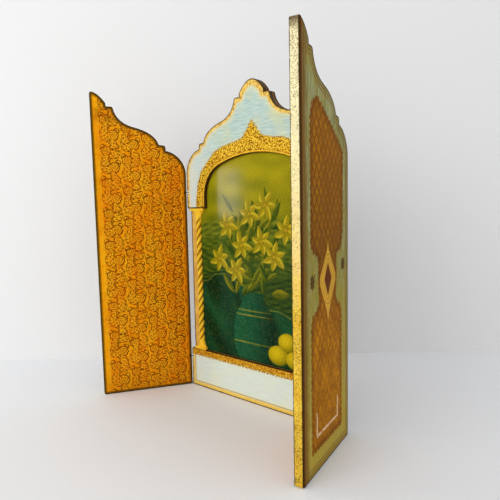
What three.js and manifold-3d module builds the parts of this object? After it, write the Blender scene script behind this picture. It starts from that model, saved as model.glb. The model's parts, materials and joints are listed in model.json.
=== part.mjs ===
// A tabletop triptych: a gilt and painted centre panel with a stepped, pointed outline, a print under
// a basket arch between two rope-twist columns, and two doors hung on pairs of linked wire eyes.
// Millimetres, +Z up. The origin is at the middle of the base rail's underside, and the picture
// faces -Y. Both doors stand open.

import * as THREE from 'three';
import { mergeVertices } from 'three/addons/utils/BufferGeometryUtils.js';
import Module from 'manifold-3d';

const wasm = await Module();
wasm.setup();

// ---- Driving dimensions -------------------------------------------------------------------------

const HEIGHT = 400;
const HALF_WIDTH = 121.6;
const GLUE_GAP = 0.3; // between pieces that touch

const BOARD_T = 4.8; // back board
const FRONT_T = 6.0; // arch frame and base rail
const DOOR_T = 9.4;
const PRINT_T = 0.5;
const EDGE_ROUND = 0.6; // softened edges of every board

const FRONT_Y = -FRONT_T / 2; // front face of the arch frame and base rail
const REVEAL_Y = FRONT_Y + FRONT_T; // their back face
const BOARD_Y = REVEAL_Y + GLUE_GAP; // front face of the back board

const RAIL_H = 53; // height of the base rail
const ARCH_BOTTOM = 249; // underside of the arch frame
const ARCH_HALF_W = 87.5; // the basket arch: straight sides, a small arc at each corner, a flat arc
const ARCH_SPRING = 264;
const ARCH_CORNER_R = 42;
const ARCH_TOP = 314;

const LEFT_OPEN = 119.4; // degrees from closed
const RIGHT_OPEN = 103;
const DOOR_GAP = 0.5; // closed door to centre panel, and twice the play at the free edge
const HINGE_Z = [41, 271];
const HINGE_X = HALF_WIDTH + DOOR_GAP / 2;
const HINGE_Y = FRONT_Y - DOOR_GAP / 2;

const EYE_R = 1.3; // to the middle of the wire
const EYE_WIRE_R = 0.45;
const SHANK_L = 5.2; // from the eye's wire into the wood
const SHANK_R = 0.5;
const SHANK_PLAY = 0.3;
const NICK_R = 3.5; // the nick cut in both arrises round a hinge
const NICK_H = 4.5;

const COLUMN_X = 104.4;
const COLUMN_BACK_Y = REVEAL_Y - PRINT_T - GLUE_GAP; // the columns stand on the print's margins
const ROPE_R = 4.5; // the half-round rope
const ROPE_STRANDS = 3;
const ROPE_PITCH = 10.8; // height between one strand and the next
const ROPE_GROOVE = 0.2; // depth of the grooves as a share of the radius
const COLUMN_FACETS = 8;
const PLATE_H = 3.2; // the flat plate at each end
const PLATE_DEPTH = 4.9;
const CAPITAL_HALF_W = 13;
const FOOT_HALF_W = 10.8;
const FLARE_H = 16; // from a plate to the rope

// ---- Shared helpers -----------------------------------------------------------------------------

// The outline from the peak (0, HEIGHT) down the right side to the shoulder at full width: a lobe, a
// step, a hollow that turns into a swelling, a second step, and a round shoulder.
function addHalfOutline(path) {
  path.quadraticCurveTo(9.8, HEIGHT, 19.5, HEIGHT - 13.7);
  path.lineTo(20, HEIGHT - 18);
  path.lineTo(26, HEIGHT - 18);
  path.quadraticCurveTo(28.6, HEIGHT - 18, 29, HEIGHT - 21.4);
  path.quadraticCurveTo(33.6, HEIGHT - 38.6, 54.8, HEIGHT - 43.6);
  path.quadraticCurveTo(81.6, HEIGHT - 50.2, 86, HEIGHT - 65.4);
  path.lineTo(92.8, HEIGHT - 66.2);
  path.quadraticCurveTo(95, HEIGHT - 66.6, 95, HEIGHT - 69.4);
  path.lineTo(94.9, HEIGHT - 73.4);
  path.bezierCurveTo(108, HEIGHT - 75, HALF_WIDTH, HEIGHT - 88, HALF_WIDTH, HEIGHT - 105);
}

// The right half of the outline as points, from the peak to the shoulder.
function halfOutline() {
  const path = new THREE.Path();
  path.moveTo(0, HEIGHT);
  addHalfOutline(path);
  return path.getPoints(7);
}

const OUTLINE = halfOutline();

function mirrored(points) {
  return points.map((p) => new THREE.Vector2(-p.x, p.y)).reverse();
}

// A board of a given thickness with softened edges, its outline drawn in X and Z, its front at frontY.
function board(points, thickness, frontY) {
  const geometry = new THREE.ExtrudeGeometry(new THREE.Shape(points), {
    depth: thickness - 2 * EDGE_ROUND,
    bevelEnabled: true,
    bevelThickness: EDGE_ROUND,
    bevelSize: EDGE_ROUND,
    bevelOffset: -EDGE_ROUND,
    bevelSegments: 1,
  });
  geometry.rotateX(Math.PI / 2); // outline up, thickness towards -Y
  geometry.translate(0, frontY + thickness - EDGE_ROUND, 0);
  return geometry;
}

function bare(geometry) {
  const copy = geometry.clone();
  copy.deleteAttribute('normal');
  copy.deleteAttribute('uv');
  return mergeVertices(copy, 1e-4);
}

function toSolid(geometry) {
  const welded = bare(geometry);
  return new wasm.Manifold(new wasm.Mesh({
    numProp: 3,
    vertProperties: new Float32Array(welded.attributes.position.array),
    triVerts: new Uint32Array(welded.index.array),
  }));
}

function toGeometry(solid) {
  const mesh = solid.getMesh();
  const geometry = new THREE.BufferGeometry();
  geometry.setAttribute('position', new THREE.BufferAttribute(mesh.vertProperties, 3));
  geometry.setIndex(new THREE.BufferAttribute(mesh.triVerts, 1));
  return geometry;
}

function cut(geometry, tools) {
  const start = toSolid(geometry);
  return toGeometry(tools.reduce((solid, tool) => solid.subtract(toSolid(tool)), start));
}

// ---- Hinges: two wire eyes linked through each other, in a nick at the boards' corners ----------

// side is -1 for the left door and 1 for the right. A shank runs into its board at 45 degrees.
function shankTurn(side, intoDoor) {
  const angle = intoDoor ? -Math.PI / 4 : Math.PI / 4;
  return side < 0 ? angle : Math.PI - angle;
}

function shank(radius, side, intoDoor, z) {
  const start = intoDoor ? 2 * EYE_R : EYE_R;
  const rod = new THREE.CylinderGeometry(radius, radius, SHANK_L, 8);
  rod.rotateZ(-Math.PI / 2);
  rod.translate(start + SHANK_L / 2, 0, 0);
  rod.rotateZ(shankTurn(side, intoDoor));
  rod.translate(side * HINGE_X, HINGE_Y, z);
  return rod;
}

// The frame's eye lies flat around the hinge axis. The door's eye stands up, and its near wire is
// the pin that turns in the frame's eye.
function eye(side, intoDoor, z) {
  const ring = new THREE.TorusGeometry(EYE_R, EYE_WIRE_R, 6, 12);
  if (intoDoor) {
    ring.rotateX(Math.PI / 2);
    ring.translate(EYE_R, 0, 0);
    ring.rotateZ(shankTurn(side, intoDoor));
  }
  ring.translate(side * HINGE_X, HINGE_Y, z);
  return toGeometry(toSolid(ring).add(toSolid(shank(SHANK_R, side, intoDoor, z))));
}

// The bores for the shanks, deeper than the shanks by the play, and the nicks around the eyes.
function hingeCuts(side, intoDoor, heights) {
  return heights.flatMap((z) => {
    const nick = new THREE.CylinderGeometry(NICK_R, NICK_R, NICK_H, 24);
    nick.rotateX(Math.PI / 2);
    nick.translate(side * HINGE_X, HINGE_Y, z);
    const bore = new THREE.CylinderGeometry(SHANK_R + SHANK_PLAY, SHANK_R + SHANK_PLAY, SHANK_L, 8);
    const start = (intoDoor ? 2 * EYE_R : EYE_R) + SHANK_PLAY;
    bore.rotateZ(-Math.PI / 2);
    bore.translate(start + SHANK_L / 2, 0, 0);
    bore.rotateZ(shankTurn(side, intoDoor));
    bore.translate(side * HINGE_X, HINGE_Y, z);
    return [nick, bore];
  });
}

// ---- Centre panel -------------------------------------------------------------------------------

function backBoard() {
  const corners = [new THREE.Vector2(HALF_WIDTH, 0), new THREE.Vector2(-HALF_WIDTH, 0)];
  const points = [...mirrored(OUTLINE), ...OUTLINE.slice(1), ...corners];
  return board(points, BOARD_T, BOARD_Y);
}

// The basket arch from its right foot over the top to its left foot. The flat arc's centre lies
// where the two arcs meet without a corner.
function archOpening() {
  const cornerX = ARCH_HALF_W - ARCH_CORNER_R;
  const rise = ARCH_TOP - ARCH_SPRING;
  const drop = (cornerX ** 2 - (rise - ARCH_CORNER_R) ** 2) / (2 * (rise - ARCH_CORNER_R));
  const flatR = rise + drop;
  const meet = Math.atan2(drop, cornerX);
  const path = new THREE.Path();
  path.moveTo(ARCH_HALF_W, ARCH_BOTTOM);
  path.lineTo(ARCH_HALF_W, ARCH_SPRING);
  path.absarc(cornerX, ARCH_SPRING, ARCH_CORNER_R, 0, meet, false);
  path.absarc(0, ARCH_SPRING - drop, flatR, meet, Math.PI - meet, false);
  path.absarc(-cornerX, ARCH_SPRING, ARCH_CORNER_R, Math.PI - meet, Math.PI, false);
  path.lineTo(-ARCH_HALF_W, ARCH_BOTTOM);
  return path.getPoints(12);
}

function archFrame() {
  const opening = archOpening();
  const points = [
    ...mirrored(OUTLINE),
    ...OUTLINE.slice(1),
    new THREE.Vector2(HALF_WIDTH, ARCH_BOTTOM),
    ...opening,
    new THREE.Vector2(-HALF_WIDTH, ARCH_BOTTOM),
  ];
  const tools = [-1, 1].flatMap((side) => hingeCuts(side, false, [HINGE_Z[1]]));
  return cut(board(points, FRONT_T, FRONT_Y), tools);
}

function baseRail() {
  const points = [
    new THREE.Vector2(-HALF_WIDTH, 0),
    new THREE.Vector2(-HALF_WIDTH, RAIL_H),
    new THREE.Vector2(HALF_WIDTH, RAIL_H),
    new THREE.Vector2(HALF_WIDTH, 0),
  ];
  const tools = [-1, 1].flatMap((side) => hingeCuts(side, false, [HINGE_Z[0]]));
  return cut(board(points, FRONT_T, FRONT_Y), tools);
}

// The print fills the arch opening and, below it, runs in under the columns.
function picturePrint() {
  const halfW = COLUMN_X + ROPE_R - GLUE_GAP;
  const arch = archOpening().map((p) => new THREE.Vector2(
    p.x - Math.sign(p.x) * GLUE_GAP,
    p.y > ARCH_SPRING ? p.y - GLUE_GAP : p.y,
  ));
  const points = [
    new THREE.Vector2(-halfW, RAIL_H + GLUE_GAP),
    new THREE.Vector2(halfW, RAIL_H + GLUE_GAP),
    new THREE.Vector2(halfW, ARCH_BOTTOM - GLUE_GAP),
    new THREE.Vector2(ARCH_HALF_W - GLUE_GAP, ARCH_BOTTOM - GLUE_GAP),
    ...arch.slice(1, -1),
    new THREE.Vector2(GLUE_GAP - ARCH_HALF_W, ARCH_BOTTOM - GLUE_GAP),
    new THREE.Vector2(-halfW, ARCH_BOTTOM - GLUE_GAP),
  ];
  const geometry = new THREE.ExtrudeGeometry(new THREE.Shape(points), {
    depth: PRINT_T,
    bevelEnabled: false,
  });
  geometry.rotateX(Math.PI / 2);
  geometry.translate(0, REVEAL_Y, 0);
  return geometry;
}

// ---- Columns: half-round ropes that flare into a plate at the foot and under the arch -------------

// Half width and depth of a column's section at height z, and how far the twist shows there.
function columnSection(z, bottom, top) {
  const fromFoot = (z - bottom - PLATE_H) / FLARE_H;
  const fromTop = (top - PLATE_H - z) / FLARE_H;
  const atFoot = fromFoot < fromTop;
  const plate = atFoot ? FOOT_HALF_W : CAPITAL_HALF_W;
  const along = THREE.MathUtils.clamp(atFoot ? fromFoot : fromTop, 0, 1);
  const flare = (1 - Math.sqrt(along * (2 - along))) * 0.9; // a hollow quarter round
  return {
    halfW: THREE.MathUtils.lerp(ROPE_R, plate, flare),
    depth: THREE.MathUtils.lerp(ROPE_R, PLATE_DEPTH, flare),
    twist: THREE.MathUtils.smoothstep(along, 0.35, 0.9),
  };
}

// The heights of the rows: a few in each flare, then even steps of a fifth of the pitch.
function columnRows(bottom, top) {
  const flares = [0, 0.06, 0.16, 0.3, 0.48, 0.7];
  const low = bottom + PLATE_H;
  const high = top - PLATE_H;
  const steps = Math.round((high - low - 2 * FLARE_H) / (ROPE_PITCH / 5));
  const rope = Array.from({ length: steps + 1 }, (_, i) => (
    THREE.MathUtils.lerp(low + FLARE_H, high - FLARE_H, i / steps)));
  return [
    ...flares.map((f) => low + f * FLARE_H),
    ...rope,
    ...flares.map((f) => high - f * FLARE_H).reverse(),
  ];
}

// A closed skin over rings of points: each ring runs round the section once, its flat back last.
function closedSkin(rings) {
  const count = rings[0].length;
  const positions = rings.flat(2);
  const index = [];
  for (let row = 0; row + 1 < rings.length; row += 1) {
    for (let i = 0; i < count; i += 1) {
      const a = row * count + i;
      const b = row * count + ((i + 1) % count);
      index.push(a, b, b + count, a, b + count, a + count);
    }
  }
  const last = (rings.length - 1) * count;
  for (let i = 1; i + 1 < count; i += 1) {
    index.push(0, i + 1, i);
    index.push(last, last + i, last + i + 1);
  }
  const geometry = new THREE.BufferGeometry();
  geometry.setAttribute('position', new THREE.Float32BufferAttribute(positions, 3));
  geometry.setIndex(index);
  return geometry;
}

function plate(halfW, z) {
  const block = new THREE.BoxGeometry(2 * halfW, PLATE_DEPTH, PLATE_H);
  block.translate(0, COLUMN_BACK_Y - PLATE_DEPTH / 2, z);
  return block;
}

function column(side) {
  const bottom = RAIL_H + GLUE_GAP;
  const top = ARCH_BOTTOM - GLUE_GAP;
  const rings = columnRows(bottom, top).map((z) => {
    const { halfW, depth, twist } = columnSection(z, bottom, top);
    return Array.from({ length: COLUMN_FACETS + 1 }, (_, i) => {
      const angle = Math.PI * (1 + i / COLUMN_FACETS); // from -X round the front to +X
      const strand = ROPE_STRANDS * angle / 2 - Math.PI * z / ROPE_PITCH;
      const r = 1 - ROPE_GROOVE * twist * (1 - Math.abs(Math.sin(strand)));
      return [halfW * r * Math.cos(angle), COLUMN_BACK_Y + depth * r * Math.sin(angle), z];
    });
  });
  const solid = toSolid(closedSkin(rings))
    .add(toSolid(plate(FOOT_HALF_W, bottom + PLATE_H / 2)))
    .add(toSolid(plate(CAPITAL_HALF_W, top - PLATE_H / 2)));
  const geometry = toGeometry(solid);
  geometry.translate(side * COLUMN_X, 0, 0);
  return geometry;
}

// ---- Doors --------------------------------------------------------------------------------------

// A closed door covers one half of the centre panel, from its hinge edge to just short of the middle.
function door(side) {
  const free = DOOR_GAP / 2;
  const outline = OUTLINE.filter((p) => p.x > EDGE_ROUND);
  const peak = new THREE.Vector2(free, HEIGHT);
  const half = [peak, ...outline, new THREE.Vector2(HALF_WIDTH, 0), new THREE.Vector2(free, 0)];
  const points = side > 0 ? half : mirrored(half);
  return cut(board(points, DOOR_T, HINGE_Y - DOOR_GAP / 2 - DOOR_T), hingeCuts(side, true, HINGE_Z));
}

// ---- Finishes -----------------------------------------------------------------------------------

const finishes = {
  mint: { color: 0xc8e1d7, roughness: 0.6, metalness: 0 },
  gold: { color: 0xd09a3c, roughness: 0.45, metalness: 0.5 },
  wood: { color: 0x5a3a24, roughness: 0.7, metalness: 0 },
  print: { color: 0x6f7f3a, roughness: 0.35, metalness: 0 },
  wire: { color: 0x6b5a3a, roughness: 0.5, metalness: 0.9 },
};

function named(name, geometry, finish) {
  const mesh = new THREE.Mesh(geometry, new THREE.MeshStandardMaterial(finishes[finish]));
  mesh.name = name;
  return mesh;
}

// ---- The object ---------------------------------------------------------------------------------

// Everything that turns with a door hangs in a group on the hinge axis.
function doorGroup(label, side, openDegrees) {
  const hinge = new THREE.Group();
  hinge.position.set(side * HINGE_X, HINGE_Y, 0);
  hinge.rotation.z = THREE.MathUtils.degToRad(side * openDegrees);
  const leaf = new THREE.Group();
  leaf.position.copy(hinge.position).negate();
  leaf.add(named(`door_${label}`, door(side), 'mint'));
  leaf.add(named(`eye_${label}_upper_door`, eye(side, true, HINGE_Z[1]), 'wire'));
  leaf.add(named(`eye_${label}_lower_door`, eye(side, true, HINGE_Z[0]), 'wire'));
  hinge.add(leaf);
  return hinge;
}

const triptych = new THREE.Group();
triptych.add(named('back_board', backBoard(), 'wood'));
triptych.add(named('arch_frame', archFrame(), 'mint'));
triptych.add(named('base_rail', baseRail(), 'mint'));
triptych.add(named('picture_print', picturePrint(), 'print'));
for (const [label, side] of [['left', -1], ['right', 1]]) {
  triptych.add(named(`column_${label}`, column(side), 'gold'));
  triptych.add(named(`eye_${label}_upper_frame`, eye(side, false, HINGE_Z[1]), 'wire'));
  triptych.add(named(`eye_${label}_lower_frame`, eye(side, false, HINGE_Z[0]), 'wire'));
}
triptych.add(doorGroup('left', -1, LEFT_OPEN));
triptych.add(doorGroup('right', 1, RIGHT_OPEN));

export default triptych;
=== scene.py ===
# %% [markdown]
# # A gilt and painted table triptych
# The real object is three boards: a centre panel with a print under an arch, and two doors hung on
# wire eyes. The CAD frame gives every board its size and its hinge. This lesson gives them their
# finish: mint paint over gesso, stamped gilding, worn arrises, carved rope columns and a print.
# The frame is loaded first, because every piece below takes its place from it.

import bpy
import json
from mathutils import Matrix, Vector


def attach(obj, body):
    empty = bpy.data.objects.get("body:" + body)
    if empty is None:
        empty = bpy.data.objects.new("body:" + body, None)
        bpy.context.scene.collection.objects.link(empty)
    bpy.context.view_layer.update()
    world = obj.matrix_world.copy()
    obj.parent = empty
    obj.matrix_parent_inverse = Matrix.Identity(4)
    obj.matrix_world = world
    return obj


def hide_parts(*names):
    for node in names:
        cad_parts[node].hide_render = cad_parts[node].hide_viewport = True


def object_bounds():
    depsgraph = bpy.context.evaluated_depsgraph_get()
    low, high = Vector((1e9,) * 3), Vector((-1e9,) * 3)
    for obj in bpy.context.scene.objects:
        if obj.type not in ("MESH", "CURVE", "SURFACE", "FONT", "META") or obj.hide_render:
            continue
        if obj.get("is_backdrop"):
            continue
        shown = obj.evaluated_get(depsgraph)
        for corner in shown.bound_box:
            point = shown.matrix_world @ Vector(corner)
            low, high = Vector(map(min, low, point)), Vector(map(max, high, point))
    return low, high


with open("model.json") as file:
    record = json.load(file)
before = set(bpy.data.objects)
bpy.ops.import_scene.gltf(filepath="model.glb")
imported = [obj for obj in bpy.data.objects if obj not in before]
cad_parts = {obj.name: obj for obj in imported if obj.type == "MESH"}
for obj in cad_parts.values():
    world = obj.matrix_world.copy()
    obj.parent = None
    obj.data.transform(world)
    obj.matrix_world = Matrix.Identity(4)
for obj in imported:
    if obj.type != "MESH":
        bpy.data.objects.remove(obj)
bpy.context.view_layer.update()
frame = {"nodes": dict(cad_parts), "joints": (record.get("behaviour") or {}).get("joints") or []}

# %% Tools
import json
import math

import bpy
import numpy as np
from mathutils import Matrix

scene = bpy.context.scene
MM = 0.001

# %% [markdown]
# ## Camera, light and floor
# The triptych is seen from the front right and a little above, close enough for the perspective to
# open the doors out. A studio would light it with a large soft lamp in front, a small one at the
# side that shines in the varnish, and white walls all round. So the scene has two area lamps, a
# pale world and a pale floor that ends at a pale wall. The wall lets light and camera through from
# behind, so that the back can be looked at too.

# %% Camera
CAMERA_PLACE = (0.40432, -0.45072, 0.24468)
CAMERA_TURN, CAMERA_DIP, CAMERA_ROLL = 0.7426, 0.1026, -0.0204
CAMERA_LENS, CAMERA_SHIFT = 35.558, 0.0225

camera_data = bpy.data.cameras.new("studio_camera")
camera_data.lens, camera_data.shift_y = CAMERA_LENS, CAMERA_SHIFT
camera = bpy.data.objects.new("studio_camera", camera_data)
camera.matrix_world = (
    Matrix.Translation(CAMERA_PLACE)
    @ Matrix.Rotation(CAMERA_TURN, 4, "Z")
    @ Matrix.Rotation(math.pi / 2 - CAMERA_DIP, 4, "X")
    @ Matrix.Rotation(CAMERA_ROLL, 4, "Z")
)
scene.collection.objects.link(camera)
scene.camera = camera
scene.view_settings.view_transform = "Standard"
print("camera at", CAMERA_PLACE)


# %% Lamps and world
def as_amounts(shown):
    """Looks, 0 to 1, turned into the amounts of light that shaders use."""
    return np.where(shown <= 0.04045, shown / 12.92, ((shown + 0.055) / 1.055) ** 2.4)


def linear(red, green, blue):
    """A colour as it looks, 0 to 255, as the light amounts of a shader's colour socket."""
    return (*as_amounts(np.array([red, green, blue]) / 255).tolist(), 1.0)


def add_lamp(name, place, target, size, power):
    """A square area lamp at a place, turned to face a target point."""
    data = bpy.data.lights.new(name, "AREA")
    data.shape, data.size, data.energy = "SQUARE", size, power
    lamp = bpy.data.objects.new(name, data)
    lamp.location = place
    toward = Matrix.Translation(target).translation - Matrix.Translation(place).translation
    lamp.rotation_mode = "QUATERNION"
    lamp.rotation_quaternion = toward.to_track_quat("-Z", "Y")
    scene.collection.objects.link(lamp)
    return lamp


add_lamp("window_lamp", (-0.15, -1.9, 0.95), (0, 0, 0.2), 1.3, 12)
add_lamp("side_window", (-1.50, -1.36, 0.34), (-0.10, 0, 0.27), 0.25, 3.8)
world = bpy.data.worlds.new("white_room")
world.use_nodes = True
world.node_tree.nodes["Background"].inputs["Color"].default_value = (0.82, 0.815, 0.81, 1)
world.node_tree.nodes["Background"].inputs["Strength"].default_value = 0.98
scene.world = world


# %% Floor and wall
def backdrop(name, corners, color, roughness, clear_from_behind=False):
    """One four-cornered face in plain paint, its corners given in turn, in metres. From behind,
    it can let everything through."""
    mesh = bpy.data.meshes.new(name)
    mesh.from_pydata(corners, [], [tuple(range(len(corners)))])
    sheet = bpy.data.objects.new(name, mesh)
    scene.collection.objects.link(sheet)
    sheet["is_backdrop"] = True
    material = bpy.data.materials.new(name + "_white")
    material.use_nodes = True
    nodes, links = material.node_tree.nodes, material.node_tree.links
    paint = nodes["Principled BSDF"]
    paint.inputs["Base Color"].default_value = color
    paint.inputs["Roughness"].default_value = roughness
    if clear_from_behind:
        side, clear = nodes.new("ShaderNodeNewGeometry"), nodes.new("ShaderNodeBsdfTransparent")
        choose = nodes.new("ShaderNodeMixShader")
        shown = (side.outputs["Backfacing"], paint.outputs[0], clear.outputs[0])
        for socket, output in zip(choose.inputs, shown):
            links.new(output, socket)
        links.new(choose.outputs[0], nodes["Material Output"].inputs["Surface"])
    mesh.materials.append(material)


WALL_DISTANCE = 0.819  # from the camera, square to its view
REACH = 3  # how far the backdrop goes behind the camera, to its sides and up
view_x, view_y = -math.sin(CAMERA_TURN), math.cos(CAMERA_TURN)


def from_camera(ahead, right, height):
    """A point so far ahead of the camera and to its right on the plan, at a height."""
    return (
        CAMERA_PLACE[0] + ahead * view_x + right * view_y,
        CAMERA_PLACE[1] + ahead * view_y - right * view_x,
        height,
    )


backdrop("floor", [
    from_camera(-REACH, -REACH, 0), from_camera(-REACH, REACH, 0),
    from_camera(WALL_DISTANCE, REACH, 0), from_camera(WALL_DISTANCE, -REACH, 0),
], (0.85, 0.865, 0.885, 1), 0.7)
backdrop("wall", [
    from_camera(WALL_DISTANCE, -REACH, 0), from_camera(WALL_DISTANCE, REACH, 0),
    from_camera(WALL_DISTANCE, REACH, REACH), from_camera(WALL_DISTANCE, -REACH, REACH),
], (0.86, 0.86, 0.86, 1), 0.8, True)
print("floor ends", WALL_DISTANCE, "m from the camera")

# %% [markdown]
# ## Sizes and the stepped outline
# All three boards share one silhouette: a lobe at the peak, a step, a hollow that swells out, a
# second step and a round shoulder. A fret saw would follow a card template. Here the template is a
# list of Bezier pieces, given once, and every board reads its top from it.

# %% Sizes in millimetres
HEIGHT = 400.0
HALF_WIDTH = 121.6
FRONT_T, FRONT_BACK_Y = 6.0, 3.0
DOOR_T = 9.4
DOOR_INNER_Y = -3.5  # inner face of a closed door
DOOR_FREE = 0.25  # its free edge, just short of the middle
RAIL_H = 53.0
ARCH_BOTTOM = 249.0
ARCH_HALF_W, ARCH_SPRING, ARCH_CORNER_R, ARCH_TOP = 87.5, 264.0, 42.0, 314.0
HINGE_X, HINGE_Y = 121.85, -3.25
HINGE_HEIGHTS = (41.0, 271.0)
NICK_R, NICK_HALF_H = 3.5, 2.25
GLUE_GAP = 0.3  # between boards that touch
ARRIS = 0.7  # radius of a softened edge
BOARD_STEP = 1.1  # size of a face on a carved front
NEAR_EDGE = np.array([1.1, 1.5, 2.1, 2.9, 3.7])  # closer rows along an edge, where it is worn
EDGE_BAND = 4.6  # where those rows give way to even ones
FRONT_LAYERS = [1.4, 2.4, 3.6, 4.6]  # rows across the thickness of a front board

OUTLINE_PIECES = [
    [(0, 0), (9.8, 0), (19.5, -13.7)],
    [(19.5, -13.7), (20, -18)],
    [(20, -18), (26, -18)],
    [(26, -18), (28.6, -18), (29, -21.4)],
    [(29, -21.4), (33.6, -38.6), (54.8, -43.6)],
    [(54.8, -43.6), (81.6, -50.2), (86, -65.4)],
    [(86, -65.4), (92.8, -66.2)],
    [(92.8, -66.2), (95, -66.6), (95.05, -69.4)],
    [(95.05, -69.4), (95.1, -73.4)],
    [(95.1, -73.4), (108, -75), (HALF_WIDTH, -88), (HALF_WIDTH, -105)],
]


# %% The outline as points
def bezier(corners, count):
    """Points on a Bezier curve: each control point times its Bernstein weight, for count + 1
    values of t."""
    corners = np.array(corners, float)
    t = np.linspace(0, 1, count + 1)[:, None]
    degree = len(corners) - 1
    weights = [math.comb(degree, k) * t**k * (1 - t) ** (degree - k) for k in range(degree + 1)]
    return sum(w * corner for w, corner in zip(weights, corners))


def path_length(path):
    """The distance along a path to each of its points."""
    return np.concatenate([[0], np.cumsum(np.linalg.norm(np.diff(path, axis=0), axis=1))])


def outline_points(step):
    """The half outline from the peak to the shoulder, in even steps, with its corners kept."""
    rows = [np.array([[0.0, 0.0]])]
    for piece in OUTLINE_PIECES:
        length = path_length(bezier(piece, 40))[-1]
        rows.append(bezier(piece, max(1, round(length / step)))[1:])
    return np.concatenate(rows) + [0, HEIGHT]


half_outline = outline_points(0.5)
print("half outline:", len(half_outline), "points, lowest", half_outline[-1])

# %% [markdown]
# ## Boards as wrapped boxes
# A board could be extruded from its outline and bevelled, but then its faces would be one large
# polygon each, with nothing to carve or stamp. Instead the skin of a box is laid out as a lattice,
# its edges are rounded, and the lattice is stretched so that its top follows the outline. Every
# point knows where on the board it lies, which is also what the paint needs to know.


# %% The skin of a box
def box_skin(us, vs, ws):
    """Every lattice point on the outside of a box, and the four-cornered faces between them."""
    i, j, k = np.meshgrid(*[np.arange(len(a)) for a in (us, vs, ws)], indexing="ij")
    skin = np.zeros(i.shape, bool)
    for index, count in ((i, len(us)), (j, len(vs)), (k, len(ws))):
        skin |= (index == 0) | (index == count - 1)
    number = (np.cumsum(skin.ravel()) - 1).reshape(skin.shape)
    points = np.stack([us[i[skin]], vs[j[skin]], ws[k[skin]]], 1)
    sides = [
        (number[:, :, -1], False), (number[:, :, 0], True), (number[:, 0, :], False),
        (number[:, -1, :], True), (number[-1], False), (number[0], True),
    ]
    return points, np.concatenate([sheet_faces(n, turned) for n, turned in sides])


def sheet_faces(number, turned=False):
    """The faces of a grid of point numbers, wound the other way round if turned."""
    faces = np.stack([number[:-1, :-1], number[1:, :-1], number[1:, 1:], number[:-1, 1:]], -1)
    faces = faces.reshape(-1, 4)
    return faces[:, ::-1] if turned else faces


def edge_steps(low, high, inner):
    """Lattice values from low to high: three steps across each rounded edge, and the inner values
    between."""
    turn = ARRIS * np.array([0, 0.3, 0.65, 1])
    inner = np.asarray(inner, float)
    inner = inner[(inner > low + 1.3 * ARRIS) & (inner < high - 1.3 * ARRIS)]
    return np.unique(np.round(np.concatenate([low + turn, inner, high - turn[::-1]]), 5))


def even_steps(low, high, step):
    """Values from low to high, evenly spaced by about a step."""
    return np.linspace(low, high, max(1, round((high - low) / step)) + 1)


def nick_rows(heights):
    """Two close rows at the foot and two at the top of each hinge nick, so that it is cut sharp."""
    return [
        height + end * (NICK_HALF_H + gap)
        for height in heights for end in (-1, 1) for gap in (-0.02, 0.02)
    ]


# %% Waves for a hand-made surface
def ripple(points, wavelength, seed, count=7):
    """A smooth irregular wave from about -1 to 1: a sum of sines that run in random directions."""
    random = np.random.default_rng(seed)
    ways = random.normal(size=(count, points.shape[1]))
    ways *= 2 * math.pi / wavelength / np.linalg.norm(ways, axis=1, keepdims=True)
    ways *= random.uniform(0.7, 1.4, (count, 1))
    phases = random.uniform(0, 2 * math.pi, count)
    return np.sin(points @ ways.T + phases).sum(1) / math.sqrt(count) / 1.2


def round_edges(points, low, high, chips, seed):
    """Rounds a box: a point keeps its direction from the box shrunk by the radius, one radius out.
    Along the edges, an irregular wave takes the radius in a little further, as wear does."""
    core = np.clip(points, np.array(low) + ARRIS, np.array(high) - ARRIS)
    away = points - core
    far = np.linalg.norm(away, axis=1, keepdims=True)
    on_edge = np.clip((far[:, 0] / ARRIS - 1) / 0.2, 0, 1)
    worn = np.clip(ripple(points, 9, seed) + 0.6 * ripple(points, 3.1, seed + 1) - 0.2, 0, 1.4)
    return core + ARRIS * away / far * (1 - chips * (on_edge * worn))[:, None]


def cut_nicks(points, side, hinge_heights):
    """Pushes the points that lie in a hinge's round nick out to its radius from the hinge axis."""
    x, y, z = (points * [side, 1, 1]).T
    across, deep = x - HINGE_X, y - HINGE_Y
    far = np.hypot(across, deep)
    near = np.min([np.abs(z - h) for h in hinge_heights], axis=0) < NICK_HALF_H
    inside = near & (far < NICK_R)
    grow = np.where(inside, NICK_R / np.maximum(far, 1e-6), 1)
    return np.stack([side * (HINGE_X + across * grow), HINGE_Y + deep * grow, z], 1)


# %% Making a piece from arrays
def new_piece(name, points, faces, body, slot, replaced, **fields):
    """A mesh from points in millimetres and faces of point numbers, with one attribute per field.
    The enclosed volume's sign says whether the faces point outwards, and turns them if not."""
    a, b, c = (points[faces[:, k]] for k in (0, 1, 2))
    d = points[faces[:, 3]]
    volume = sum(
        np.einsum("ij,ij->i", a, np.cross(*pair)) for pair in ((b, c), (c, d))).sum() / 6000  # cm3
    if volume < 0:
        faces = faces[:, ::-1]
    mesh = bpy.data.meshes.new(name)
    mesh.vertices.add(len(points))
    mesh.vertices.foreach_set("co", (points * MM).astype(np.float32).ravel())
    mesh.loops.add(faces.size)
    mesh.loops.foreach_set("vertex_index", np.ascontiguousarray(faces).ravel().astype(np.int32))
    mesh.polygons.add(len(faces))
    mesh.polygons.foreach_set("loop_start", np.arange(0, faces.size, 4, dtype=np.int32))
    mesh.update(calc_edges=True)
    for field, values in fields.items():
        add_field(mesh, field, values)
    piece = bpy.data.objects.new(name, mesh)
    scene.collection.objects.link(piece)
    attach(piece, body)
    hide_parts(replaced)
    mesh.polygons.foreach_set("use_smooth", np.ones(len(faces), bool))
    print(f"{name}: {2 * len(faces)} triangles, {abs(volume):.1f} cm3")
    return piece


def set_materials(piece, numbers):
    """Says which of its materials each face of a piece takes."""
    piece.data.polygons.foreach_set("material_index", numbers.astype(np.int32))


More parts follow.
